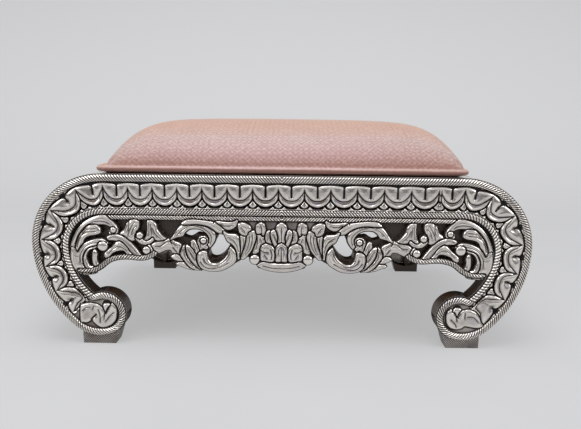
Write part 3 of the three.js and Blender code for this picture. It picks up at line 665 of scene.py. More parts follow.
def sample(grid, x, z, low, cell):
    """Values between grid points, each weighed from its four neighbours."""
    i = np.clip((x - low[0]) / cell, 0, grid.shape[1] - 1.001)
    j = np.clip((z - low[1]) / cell, 0, grid.shape[0] - 1.001)
    i0, j0 = i.astype(int), j.astype(int)
    u, v = i - i0, j - j0
    lower = grid[j0, i0] * (1 - u) + grid[j0, i0 + 1] * u
    upper = grid[j0 + 1, i0] * (1 - u) + grid[j0 + 1, i0 + 1] * u
    return lower * (1 - v) + upper * v


def cut_out(relief, inset=0.0):
    """The points and cells of a relief within its edge, with the rim's points moved onto the
    edge along the steepest way. Returns x, z, the faces and the rim's pairs of points."""
    edge = relief.edge + inset
    kept = solid_cells(edge)
    used = np.pad(kept, ((0, 1), (0, 1))) | np.pad(kept, ((1, 0), (0, 1)))
    used |= np.pad(kept, ((0, 1), (1, 0))) | np.pad(kept, ((1, 0), (1, 0)))
    numbers = np.cumsum(used.ravel()).reshape(used.shape) - 1
    rim = rim_edges(kept, numbers)
    slope_z, slope_x = np.gradient(edge, relief.cell)
    steep = np.maximum(slope_x**2 + slope_z**2, 0.3)
    on_rim = np.zeros(used.sum(), bool)
    on_rim[rim.ravel()] = True
    move = np.where(on_rim, edge[used] / steep[used], 0)
    move_x = np.clip(move * slope_x[used], -0.7 * relief.cell, 0.7 * relief.cell)
    move_z = np.clip(move * slope_z[used], -0.7 * relief.cell, 0.7 * relief.cell)
    x, z = relief.x[used] - move_x, relief.z[used] - move_z
    a, b = numbers[:-1, :-1][kept], numbers[:-1, 1:][kept]
    c, d = numbers[1:, 1:][kept], numbers[1:, :-1][kept]
    return x, z, np.stack([a, b, c, d], axis=1), rim


def walls(rim, count):
    """Faces that go back from a rim to a second ring, and the numbers of the rim's points.
    The second ring's points are numbered from count on."""
    ring = np.unique(rim)
    place = np.zeros(ring.max() + 1, int)
    place[ring] = count + np.arange(len(ring))
    faces = np.stack([rim[:, 0], rim[:, 1], place[rim[:, 1]], place[rim[:, 0]]], axis=1)
    return ring, faces


def silver_sheet(name, relief, ground, back, facing, material):
    """A closed silver sheet: the relief in front, walls along its rim and a flat back. What
    lies lower than a soft copy of the relief is darker. Facing is 1 for the front frame. For
    the rear one it is -1, and the drawing is turned round the middle."""
    near = blur(relief.height, max(1, int(1.2 / relief.cell))) - relief.height
    wide = blur(relief.height, max(1, int(3.0 / relief.cell))) - relief.height
    dark = np.clip(np.maximum(relief.dark, FACE_TARNISH + 0.45 * near + 0.25 * wide), 0, 1)
    x, z, cells, rim = cut_out(relief)
    height = sample(relief.height, x, z, relief.low, relief.cell)
    tarnish_and_shade = sample(dark, x, z, relief.low, relief.cell)
    ring, sides = walls(rim, len(x))
    front = np.stack([x, ground - height, z], axis=1)
    rear = np.stack([x[ring], np.full(len(ring), back), z[ring]], axis=1)
    points = np.vstack([front, rear]) * (facing, facing, 1)
    values = {"tarnish_and_shade": np.append(tarnish_and_shade, np.full(len(ring), RIM_TARNISH))}
    piece = make_piece(name, points, np.vstack([cells, sides]).tolist(), material, values)
    return close_piece(piece)


def board(name, relief, front, back, inset, facing, material):
    """A flat board with the relief's outline, set in from its edge."""
    x, z, _, rim = cut_out(relief, inset)
    ring, sides = walls(rim, len(x))
    count = len(ring)
    place = np.zeros(len(x), int)
    place[ring] = np.arange(count)
    near = np.stack([x[ring], np.full(count, front), z[ring]], axis=1)
    far = np.stack([x[ring], np.full(count, back), z[ring]], axis=1)
    faces = np.where(sides < len(x), place[np.minimum(sides, len(x) - 1)], sides - len(x) + count)
    points = np.vstack([near, far]) * (facing, facing, 1)
    return close_piece(make_piece(name, points, faces.tolist(), material))


print("tarnish of a flat face", FACE_TARNISH, "and of a rim", RIM_TARNISH)

# %% [markdown]
# The frame's outline
#
# A leg is a chain of arcs. Each arc leaves the one before it smoothly, so only the radii and
# the angles are chosen, and the centres follow from the size of the frame. The inner edge is
# one arc under the rail and one down to the notch over the scroll.

# %% Outline of a leg
leg_low, leg_high = box_mm("front_right_leg_sheet")
rail_low, rail_high = box_mm("front_rail_sheet")
core_low, core_high = box_mm("front_rail_core")
_, apron_high = box_mm("front_apron_sheet")

HALF_LENGTH, TOP, RAIL_BOTTOM = leg_high[0], leg_high[2], rail_low[2]
JOINT = (rail_high[0] + leg_low[0]) / 2
FACE, CORE_FACE, CORE_BACK = leg_low[1], core_low[1], core_high[1]
GROUND_DEPTH = 4.3
GROUND = FACE + GROUND_DEPTH
SHEET_BACK = rail_high[1]
SHOULDER_RADIUS, INNER_SHOULDER_RADIUS, BEND_RADIUS, SCROLL_RADIUS = 88, 42, 45, 28.2
FOOT_HEIGHT = leg_low[2]
LOWER_SWEEP, BEND_SWEEP, NOTCH_ANGLE = 48.2, 62.5, 66.9
BAND_WIDTH = HALF_LENGTH - apron_high[0] - 0.3


def step_from(place, distance, angle):
    """The point at a distance and an angle in degrees from another."""
    turn = math.radians(angle)
    return np.array(place) + distance * np.array([math.cos(turn), math.sin(turn)])


shoulder = np.array([HALF_LENGTH - SHOULDER_RADIUS, TOP - SHOULDER_RADIUS])
lower_drop = shoulder[1] - BEND_RADIUS - FOOT_HEIGHT
lower_radius = BEND_RADIUS + lower_drop / math.sin(math.radians(LOWER_SWEEP))
lower = np.array([HALF_LENGTH - lower_radius, shoulder[1]])
bend = step_from(lower, lower_radius - BEND_RADIUS, -LOWER_SWEEP)
scroll = step_from(bend, BEND_RADIUS - SCROLL_RADIUS, -LOWER_SWEEP - BEND_SWEEP)
inner_limit = HALF_LENGTH - BAND_WIDTH
inner_shoulder = np.array([inner_limit, RAIL_BOTTOM]) - INNER_SHOULDER_RADIUS
notch = step_from(scroll, SCROLL_RADIUS, NOTCH_ANGLE)
inner_radius = ((inner_limit - notch[0]) ** 2 + (inner_shoulder[1] - notch[1]) ** 2) / (
    2 * (inner_limit - notch[0])
)
inner_leg = np.array([inner_limit - inner_radius, inner_shoulder[1]])
notch_turn = math.degrees(math.atan2(notch[1] - inner_leg[1], notch[0] - inner_leg[0]))

outer_line = even(np.vstack([
    [[JOINT, TOP]],
    arc(shoulder, SHOULDER_RADIUS, 90, 0),
    arc(lower, lower_radius, 0, -LOWER_SWEEP),
    arc(bend, BEND_RADIUS, -LOWER_SWEEP, -LOWER_SWEEP - BEND_SWEEP),
    arc(scroll, SCROLL_RADIUS, -LOWER_SWEEP - BEND_SWEEP, NOTCH_ANGLE - 360),
]))
inner_line = even(np.vstack([
    [[JOINT, RAIL_BOTTOM]],
    arc(inner_shoulder, INNER_SHOULDER_RADIUS, 90, 0),
    arc(inner_leg, inner_radius, 0, notch_turn),
]))
LEAF_INSET = BAND_WIDTH / 2
middle_line = even(np.vstack([
    [[JOINT, TOP - LEAF_INSET]],
    arc(shoulder, SHOULDER_RADIUS - LEAF_INSET, 90, 0),
    arc(lower, lower_radius - LEAF_INSET, 0, -LOWER_SWEEP),
    arc(bend, BEND_RADIUS - LEAF_INSET, -LOWER_SWEEP, -LOWER_SWEEP - BEND_SWEEP),
]))
leg_outline = np.vstack([outer_line, inner_line[::-1]])
print("scroll centre", scroll.round(1), "notch", notch.round(1))

# %% [markdown]
# Ropes and leaves
#
# Rail and legs carry one ornament: a twisted rope along each edge and a row of overlapping
# leaves between them. It is a function of the distance to an edge and of a count along it,
# and not a shape that is copied, so it follows the straight rail and the curved leg alike.
# Leaves are counted by a number that grows by one from leaf to leaf and is whole at the notch
# between two upper lobes. Each leaf hangs down in a bowl whose sides meet those of the next
# in one line, and a small dart fills the gap under that line.

# %% Ropes
OUTER_ROPE, INNER_ROPE = 4.6, 4.1
OUTER_LEAN, RAIL_LEAN, LEG_LEAN = 1.2, 1.1, 0.5
ROPE_PITCH, LEG_PITCH = 3.5, 3.9
BAND_TOP, BAND_BOTTOM = 9.9, 10.9


def rope(distance, turns, half, lean):
    """A twisted rope: a half-round bar with slanting grooves, one for each whole turn."""
    q = np.clip((distance - half) / half, -1, 1)
    groove = (0.5 - 0.5 * np.cos(2 * np.pi * (turns + lean * q))) ** 1.6
    height = 0.4 + (4.1 - 1.7 * groove) * np.sqrt(1 - q**2)
    return height, np.maximum(groove, crease(distance - 2 * half, 0.5))


# %% Measures of a leaf
BAND = 27.4
LEAF_PITCH = 31.2
LEAF_HALF = LEAF_PITCH / 2


def between(rail, on_leg, leg):
    """A measure of the rail's leaves, carried towards that of a leg's."""
    return rail + (on_leg - rail) * leg


def leaf_measures(leg):
    """The heights where two bowls meet and where the line between them ends, and the power
    of the oval that is a bowl's outline."""
    return between(12.5, 15.5, leg), between(19.3, 24.4, leg), between(1.8, 2.0, leg)


# %% Bowls


def within_bowl(t, left, middle, leg):
    """The distance in from a bowl's outline: one less the powers of both sides of an oval,
    over their slope. Higher up it is the way to the line that two bowls share, or to its tip."""
    merge, tip, power = leaf_measures(leg)
    fall = np.clip((merge - t) / merge, 0, 1)
    slope = power * np.hypot(left ** (power - 1) / LEAF_HALF, fall ** (power - 1) / merge)
    within = np.where(t < merge, (1 - left**power - fall**power) / np.maximum(slope, 0.07), middle)
    return np.where(t > tip, np.hypot(middle, t - tip), within)


def bowl_height(within, left, leg):
    """A bowl rises from its edge and levels off, with a crest that is lower at its sides."""
    deep = np.clip(within, 0, None)
    crest = np.clip(1.1 - between(1.1, 0.6, leg) * left**1.5, 0, 1) * crease(deep - 2.4, 2.0)
    return 0.8 + 1.5 * (1 - np.exp(-deep / 1.2)) + 1.6 * crest


# %% Notches and darts


def notch_gap(t, top, number, across, leg):
    """How far a place is from the notch between two lobes: a wedge at the top and a line
    down from it, whose length changes from leaf to leaf on a leg."""
    wedge = np.clip((t - top + between(2.2, 3.4, leg)) / 4, 0, 1)
    notch_end = 12 + leg * (4 + 3.5 * np.cos(2.4 * np.round(number)))
    notch = across - 0.15 - between(2.4, 2.5, leg) * wedge**1.6
    return np.where(t < notch_end, np.hypot(across, t - notch_end), notch)


def dart_below(t, middle, leg):
    """The dart in the gap between two bowls: half round, with a chased line down its middle.
    Returns its height, its lines and whether a place is on it."""
    merge, _, power = leaf_measures(leg)
    fall = np.clip((merge - t) / merge, 0, 1)
    room = LEAF_HALF - LEAF_HALF * (1 - fall**power) ** (1 / power) - 1.0
    dart_half = np.clip(room, 0.02, 5.2 - 0.8 * leg) * np.sqrt(np.clip((t + 0.3) / 2.2, 0, 1))
    q = np.clip(middle / np.maximum(dart_half, 0.02), 0, 1)
    stroke = crease(middle, 0.6) * crease(t - 4.6, 2.2)
    on_dart = (q < 1) & (t > -0.3) & (dart_half > 0.4)
    height = 0.5 + 2.4 * np.sqrt(1 - q**2) - 0.8 * stroke
    return height, np.maximum(0.8 * stroke, crease(q - 1, 0.16)), on_dart


# %% The row of leaves


def leaf_row(number, up, band, leg):
    """The row of leaves. Number counts them, up is the height over the row's bottom and band
    the row's height. Leg goes from 0 on the rail to 1 on a leg, where the line between two
    bowls runs further out and the lobes' top edge is much rounder."""
    t = up / band * BAND
    across = np.abs(number - np.round(number)) * LEAF_PITCH
    left, middle = across / LEAF_HALF, LEAF_HALF - across
    merge, tip, _ = leaf_measures(leg)
    low_arc = between(7.4, 6.6, leg)
    within = within_bowl(t, left, middle, leg)
    # The chased arc along the bowl, and the lobe over it with a round top edge
    over_arc = (t - low_arc - (tip - low_arc) * left**2.6) / np.sqrt(1 + 3.0 * left**3)
    corner = np.clip(3.2 - across, 0, 3.2)
    top = BAND - between(1.9, 4.2, leg) * (1 - left) ** 2 - 0.8 * (3.2 - np.sqrt(3.2**2 - corner**2))
    notch = notch_gap(t, top, number, across, leg)
    over = np.clip(np.minimum(np.minimum(notch, over_arc), np.minimum(top - t, within + 0.3)), 0, None)
    hollow = crease(across, 4.5) * crease(t - top + 6, 4)
    lobe = 0.9 + 3.0 * (1 - np.exp(-over / between(1.9, 2.6, leg))) - between(0.3, 1.1, leg) * hollow
    height = np.where(over_arc > 0, lobe, bowl_height(within, left, leg))
    # Lines pressed round everything
    line = crease(within, 0.8 - 0.35 * np.clip((t - merge) / 4, 0, 1))
    line = np.maximum(line, 0.7 * crease(over_arc, 0.34) * (over_arc > -1))
    line = np.maximum(line, np.clip(1 - (notch - 0.1) / 0.55, 0, 1) * between(1, 0.85, leg))
    # The gap between two bowls holds a dart on low dark ground
    dart, dart_line, on_dart = dart_below(t, middle, leg)
    in_gap = (within < 0) & (t < merge)
    height = np.where(in_gap, np.where(on_dart, dart, 0.1), height)
    line = np.where(in_gap, np.where(on_dart, dart_line, 1.0), line)
    # Painted shade: a dark band under the top of each rail lobe, and the hollows of a leg's lobes, darken
    # the silver together with the lines
    shade = 0.24 * (1 - leg) * crease(t - 21.5, 1.7) + 0.22 * leg * hollow
    line = np.maximum(line, shade * np.clip(over / 2, 0, 1))
    # Plain ground between a leg's lobes and the rope
    above = t - top
    ground = leg * np.clip((above - 0.9 - 2.4 * crease(across, 2.5)) / 0.6, 0, 1)
    height = np.where(above > 0, 0.3 + 1.9 * ground, height)
    line = np.where(above > -0.5, np.maximum(line, np.clip(1.4 + above / 0.5, 0, 1) * (1 - ground)), line)
    return height - 0.5 * line, np.clip(line, 0, 1), middle


def leaves_and_bead(outer_gap, inner_gap, number, leg):
    """The leaf row and the plain bead under it, whose edge rises between bowl and dart."""
    band = np.maximum(outer_gap + inner_gap - BAND_BOTTOM - BAND_TOP, 8)
    up = inner_gap - BAND_BOTTOM
    height, dark, middle = leaf_row(number, up, band, leg)
    bead_top = -0.9 + (2.7 - leg) * crease(middle - 6.9, 1.9)
    below = np.clip((bead_top - up) / 2.0, 0, 1)
    height = np.where(below > 0, 0.3 + 2.8 * np.sin(np.pi / 2 * below), height)
    dark = np.where(below > 0, 0.9 * crease(bead_top - up, 0.35), dark)
    return height, dark


def add_ropes(relief, outer_gap, inner_gap, outer_turns, inner_turns, inner_lean, wear=0.0):
    """Lays both ropes over what is there, and rounds the outermost edge. Worn grooves are paler."""
    nearer = inner_gap < outer_gap
    for gap, turns, half, lean, mine in (
        (outer_gap, outer_turns, OUTER_ROPE, OUTER_LEAN, ~nearer),
        (inner_gap, inner_turns, INNER_ROPE, inner_lean, nearer),
    ):
        height, dark = rope(gap, turns, half, lean)
        on = mine & (gap < 2 * half)
        relief.height = np.where(on, height, relief.height)
        relief.dark = np.where(on, dark * (1 - wear), relief.dark)
    rounding = np.clip(1 - np.minimum(outer_gap, inner_gap) / 1.2, 0, 1)
    relief.height = relief.height - 0.8 * rounding**2


print("a leaf every", LEAF_PITCH, "mm between ropes", 2 * OUTER_ROPE, "and", 2 * INNER_ROPE, "mm wide")

# %% [markdown]
# Rail
#
# The leaves of the real rail aren't quite evenly spaced, as handwork isn't: the pitch grows a
# little from left to right. A quadratic gives each leaf's place, and solving it backwards
# gives the leaf number at any place. The ropes turn the other way in each half of the rail.

# %% Rail relief and its leaf numbers
FIRST_LEAF, PITCH_MIDDLE, PITCH_GROWTH = 11.5, 31.155, 0.1547


def leaf_number(x):
    """Solves place = first + pitch n + growth n squared for n."""
    root = np.sqrt(PITCH_MIDDLE**2 + 4 * PITCH_GROWTH * (x - FIRST_LEAF))
    return (-PITCH_MIDDLE + root) / (2 * PITCH_GROWTH)


def rail_relief(cell):
    """A rail's relief: its gaps to the edges are plain differences of height."""
    relief = Relief((-JOINT, RAIL_BOTTOM), (JOINT, TOP), cell)
    x, z = relief.x, relief.z
    relief.height, relief.dark = leaves_and_bead(TOP - z, z - RAIL_BOTTOM, leaf_number(x), 0.0)
    turns = np.abs(x) / ROPE_PITCH
    add_ropes(relief, TOP - z, z - RAIL_BOTTOM, turns, turns, RAIL_LEAN, wear=0.1)
    relief.edge = np.maximum(np.abs(x) - JOINT, np.maximum(z - TOP, RAIL_BOTTOM - z))
    return relief


print("leaf numbers at the rail's ends:", leaf_number(np.array([-JOINT, JOINT])).round(2))

# %% [markdown]
# Legs
#
# On the legs the row goes on round the shoulder and down to the scroll. There the bowls meet
# further out, so that the leaves look like a chain of round lobes. Their places come from a
# list for each leg, because a rule with even steps doesn't fit handwork. Inside the scroll
# the row ends in one broad leaf and a small bud over it, both drawn by their outlines.

# %% Leg relief
# Places along the leg, by turns a place where two bowls meet and a notch. Here and below, 1
# stands for the right leg and -1 for the left one
LEAF_MARKS = {
    1: [-30.5, -15, 0.6, 13.8, 28.7, 41.3, 58.7, 71.9, 90.4, 103, 123.4, 136.5, 156.9, 169.5, 189.8, 205.4,
        227, 244.3, 262],
    -1: [-6, 8.4, 24.6, 37.1, 54.5, 69.5, 90.4, 106, 124, 141.3, 155.1, 170.1, 185.6, 204.2, 216.2,
         237.1, 258],
}
# How far along the leg the row of leaves goes
ROW_END = {1: 229, -1: 219}
# Leaves of the scroll, each an outline and its veins, as x, z, x, z and so on
SCROLL_LEAVES = {
    1: [
        ([212, 52.5, 208.5, 50, 206.5, 45, 206.5, 38.5, 208, 32.5, 211.5, 28, 216, 26, 222, 25.5, 227, 27,
         230.5, 29.5, 235, 29, 240.5, 28, 246, 27.5, 251, 28.5, 253.5, 31.5, 250.5, 36, 248.5, 41.5,
         244.5, 47.5, 239.5, 51, 234, 52.5, 229, 51.5, 226.5, 51, 223.5, 49, 222, 45.5, 220, 42.5,
         217.5, 46, 215.5, 49],
         [[220, 43, 219.5, 40.5, 219.5, 37.5], [212.5, 38.5, 217.5, 33.5, 219.5, 29.5],
          [224.5, 46.5, 222.5, 42.5], [229.5, 48, 229.5, 40.5],
          [233, 42.5, 238.5, 42.5, 243, 40, 246, 36.5]]),
        ([214, 49.5, 216, 53.5, 219.5, 54.5, 223.5, 53.5, 225, 51.5, 223, 49, 221.5, 46, 220, 43, 218, 46,
         216.5, 48], []),
    ],
    -1: [
        ([250.5, 51.5, 245, 53.5, 239.5, 54.5, 235, 54, 230.5, 53, 226.5, 51, 223.5, 48, 222, 45, 220, 40.5,
         218, 43, 215.5, 47, 213, 51.5, 211, 54.5, 208, 52.5, 205.5, 48, 205, 43.5, 205.5, 38.5, 206.5, 33,
         209.5, 28.5, 214, 24.5, 220, 22, 224.5, 21.5, 228.5, 22.5, 233, 26, 236.5, 30, 237, 34,
         239, 30.5, 243, 28, 247.5, 28, 252, 30.5],
         [[220, 40.5, 221, 37.5, 221.5, 33.5], [228, 46, 226.5, 38.5, 226.5, 30],
          [209, 42, 215, 36.5, 219.5, 30.5], [234, 50.5, 235, 46.5], [248, 44, 243.5, 48, 238, 49]]),
        ([222.5, 52, 219.5, 54, 214.5, 53.5, 213.5, 51.5, 216.5, 48.5, 218.5, 45, 219.5, 42.5, 221, 45, 222,
         48.5], []),
    ],
}
# The hole beside the bud: its centre and its radius. It isn't cut: a low disc painted near black stands in
# as painted shade of the hole
SCROLL_HOLE = {1: (219.5, 52.5, 5.4), -1: (217.5, 52.5, 5.8)}
HOLE_HEIGHT, HOLE_SHADE = 0.2, 1.0
SCROLL_HEIGHT, SCROLL_DARK = 1.0, 0.25
leg_rope_line = even(np.vstack([
    [[JOINT, RAIL_BOTTOM + INNER_ROPE]],
    arc(inner_shoulder, INNER_SHOULDER_RADIUS + INNER_ROPE, 90, 0),
    arc(inner_leg, inner_radius + INNER_ROPE, 0, notch_turn),
    arc(notch, INNER_ROPE, notch_turn, NOTCH_ANGLE - 180),
    arc(scroll, SCROLL_RADIUS - OUTER_ROPE, NOTCH_ANGLE - 360, -LOWER_SWEEP - BEND_SWEEP),
    arc(bend, BEND_RADIUS - OUTER_ROPE, -LOWER_SWEEP - BEND_SWEEP, -LOWER_SWEEP),
    arc(lower, lower_radius - OUTER_ROPE, -LOWER_SWEEP, 0),
    arc(shoulder, SHOULDER_RADIUS - OUTER_ROPE, 0, 90),
    [[JOINT, TOP - OUTER_ROPE]],
]))


def leg_relief(hand, cell):
    """One leg's relief, drawn as a right leg. A left one is mirrored, with its own leaf places."""
    relief = Relief((JOINT, FOOT_HEIGHT), (HALF_LENGTH + cell, TOP), cell)
    x, z = relief.x, relief.z
    outer_gap, _, _ = nearest(x, z, outer_line)
    inner_gap, _, _ = nearest(x, z, inner_line)
    _, along, _ = nearest(x, z, middle_line)
    marks = LEAF_MARKS[hand]
    number = np.interp(along, marks, 0.5 + 0.5 * np.arange(len(marks)))
    relief.height, relief.dark = leaves_and_bead(outer_gap, inner_gap, number, np.clip(along / 80, 0, 1))
    in_scroll = np.hypot(x - scroll[0], z - scroll[1]) < SCROLL_RADIUS - 2 * OUTER_ROPE
    past = (along > ROW_END[hand]) | in_scroll
    hole_x, hole_z, hole_radius = SCROLL_HOLE[hand]
    hole = np.hypot(x - hole_x, z - hole_z) < hole_radius
    # Past the row the scroll is plain ground, and the hole is a low disc in painted shade
    relief.height = np.where(past, np.where(hole, HOLE_HEIGHT, SCROLL_HEIGHT), relief.height)
    relief.dark = np.where(past, np.where(hole, HOLE_SHADE, SCROLL_DARK), relief.dark)
    for outline, veins in SCROLL_LEAVES[hand]:
        relief.leaf(outline, veins, rise=2.8, spread=0.2)
    _, rope_along, _ = nearest(x, z, leg_rope_line)
    length = np.hypot(*np.diff(leg_rope_line, axis=0).T).sum()
    add_ropes(
        relief, outer_gap, inner_gap, (JOINT + length - rope_along) / ROPE_PITCH,
        JOINT / ROPE_PITCH + rope_along / LEG_PITCH, np.interp(rope_along, (0, 60), (RAIL_LEAN, LEG_LEAN)),
        wear=0.35 * np.clip((x - JOINT) / 30, 0, 1),
    )
    gap = np.minimum(outer_gap, inner_gap)
    relief.edge = np.where(inside(x, z, leg_outline), -gap, gap)
    relief.edge = np.maximum(relief.edge, JOINT - x)
    if hand < 0:
        relief.mirror()
    return relief


print("a leg's rope is", round(np.hypot(*np.diff(leg_rope_line, axis=0).T).sum()), "mm long")

# %% [markdown]
# Apron
#
# The apron is pierced in four places and carved deeply elsewhere, so that dark wood shows
# between its silver leaves. It could be sculpted, but an outline can be measured, and a relief
# keeps it sharp at any grid step. So each leaf is drawn by its outline and its veins. Leaves
# of one half are mirrored for the other half, and later leaves lie over earlier ones.

# %% Leaves at the apron's end, each an outline and its veins, as x, z, x, z and so on
END_LEAVES = [
    ([257.6, 119.5, 256.8, 129, 253.2, 139, 247, 149.5, 240.5, 156.5, 231, 162.5, 221, 166, 213.5, 166,
      207, 160.5, 203, 156.5, 199.5, 151, 199, 146, 201, 142.5, 205.5, 141.5, 209.5, 143, 208.5, 148.5,
      207.5, 151.5, 211.5, 154, 217.5, 155, 226, 154.5, 233.5, 153.5, 239.5, 149, 245, 143, 248, 135.5,
      249.5, 127],
     [[245.5, 142.5, 238.5, 151.5, 228, 157.5, 216, 158.5, 207.5, 155.5]]),
    ([250, 116, 251, 123.5, 249.5, 132, 246, 140, 240.5, 146.5, 234.5, 152.5, 228.5, 154, 223.5, 153,
      220.5, 149, 220.5, 144.5, 225.5, 142, 231.5, 141, 236.5, 139.5, 240.5, 136, 242.5, 130.5,
      246, 124, 248.5, 118.5],
     [[249, 126, 247, 135, 242.5, 141, 235.5, 145, 226, 146],
      [241.5, 143.5, 235.5, 148, 225, 149.5]]),
    ([255.5, 126, 249.5, 119, 246, 124, 241, 130, 236, 133, 229.5, 135.5, 222, 136.5, 216, 135,
      212, 130.5, 217.5, 131, 225, 128, 231.5, 126, 236.5, 123.5, 240.5, 119, 242, 113.5, 242, 107,
      239, 100.5, 234.5, 96.5, 228.5, 94, 236, 92, 246, 92, 253.5, 97.5, 257.5, 106, 258, 117],
     [[246.5, 107, 246, 116, 242.5, 123, 236, 128.5, 228.5, 131.5, 220, 132.5]]),
    ([226.5, 127, 232.5, 125.5, 237.5, 122.5, 241, 117, 242.5, 111, 241.5, 103, 238, 99, 232, 97,
      227, 99.5, 224, 103, 229, 101, 235.5, 102, 238, 107, 239.5, 113, 238, 118.5, 234, 123, 228, 125], []),
    ([230, 122, 227.5, 122, 226, 117.5, 226.5, 111, 225.5, 106, 224, 102.5, 229, 102.5, 231.5, 107,
      231.5, 115], []),
    ([212.5, 138.5, 208.5, 141, 202.5, 142, 196.5, 141, 190.5, 138, 184.5, 133, 180, 127.5,
      175.5, 121.5, 172.5, 116.5, 180.5, 117.5, 186.5, 122, 190.5, 128, 195.5, 133, 203, 135, 210, 135.5],
     [[210, 138, 201.5, 139, 193, 136, 186, 130.5, 180, 124, 176.5, 119],
      [199, 136, 193, 133, 187.5, 127, 182.5, 121.5, 178, 118]]),
    ([216.5, 118, 212.5, 122, 207.5, 126, 202.5, 131.5, 198.5, 133.5, 194, 131.5, 189.5, 127,
      186.5, 122, 183.5, 117.5, 188.5, 118, 192, 122, 196.5, 122.5, 202.5, 121, 207.5, 118.5,
      211, 114.5, 214.5, 113, 216.5, 114.5],
     [[212, 118.5, 206, 123.5, 199.5, 127.5, 193.5, 126, 188.5, 122]]),
]
print("leaves at each end:", len(END_LEAVES))

# %% Leaves between the end and the volute
MIDDLE_LEAVES = [
    ([196, 143.5, 191.5, 148, 189, 153, 187, 157, 182.5, 160.5, 178, 161, 173.5, 159.5, 173, 154.5,
      174.5, 149.5, 177, 146.5, 176.5, 142.5, 177.5, 137.5, 180.5, 135, 184.5, 136, 188.5, 139.5,
      192, 142],
     [[185.5, 158.5, 185, 153, 186, 147.5],
      [178, 157.5, 182, 152, 185, 146, 186.5, 140.5],
      [175.5, 154, 180, 149, 182.5, 142]]),
    ([162.5, 159.5, 158, 160.5, 153.5, 158, 151.5, 154, 150.5, 149, 147.5, 144.5, 144, 140.5,
      140.5, 137.5, 144, 135.5, 149.5, 135.5, 154.5, 136.5, 159, 134.5, 165, 133.5, 167, 136,
      164.5, 140.5, 163, 146, 162.5, 152.5],
     [[160.5, 157, 160.5, 149.5, 161, 141],
      [158.5, 155.5, 157.5, 146, 158.5, 139],
      [156.5, 151, 153, 143.5, 146.5, 138]]),
    ([174.5, 146, 177, 142, 177, 137, 174, 133, 169.5, 130.5, 164, 130.5, 159, 132.5, 155.5, 136,
      156.5, 139, 160.5, 136, 165.5, 134.5, 169, 136.5, 170, 140, 171, 144.5], []),
    ([162.5, 129.5, 159, 128, 157, 123.5, 156, 119, 157.5, 116, 161.5, 113.5, 166.5, 112, 172, 111.5,
      169.5, 115, 164.5, 115.5, 161, 118.5, 159.5, 122, 160.5, 126], []),
    ([158, 130, 154, 133, 148, 134, 142.5, 135, 137.5, 137.5, 133, 136.5, 128.5, 134, 123.5, 132,
      122, 128.5, 123, 124, 124.5, 119, 129.5, 118, 133, 121, 135.5, 124, 140.5, 124, 144.5, 122.5,
      149.5, 120.5, 154, 121, 156, 125.5],
     [[153.5, 128.5, 147.5, 128.5, 142.5, 132, 137.5, 134.5, 132.5, 133, 127.5, 129.5],
      [131.5, 127, 128.5, 123, 126.5, 119.5]]),
]
print("leaves between:", len(MIDDLE_LEAVES))

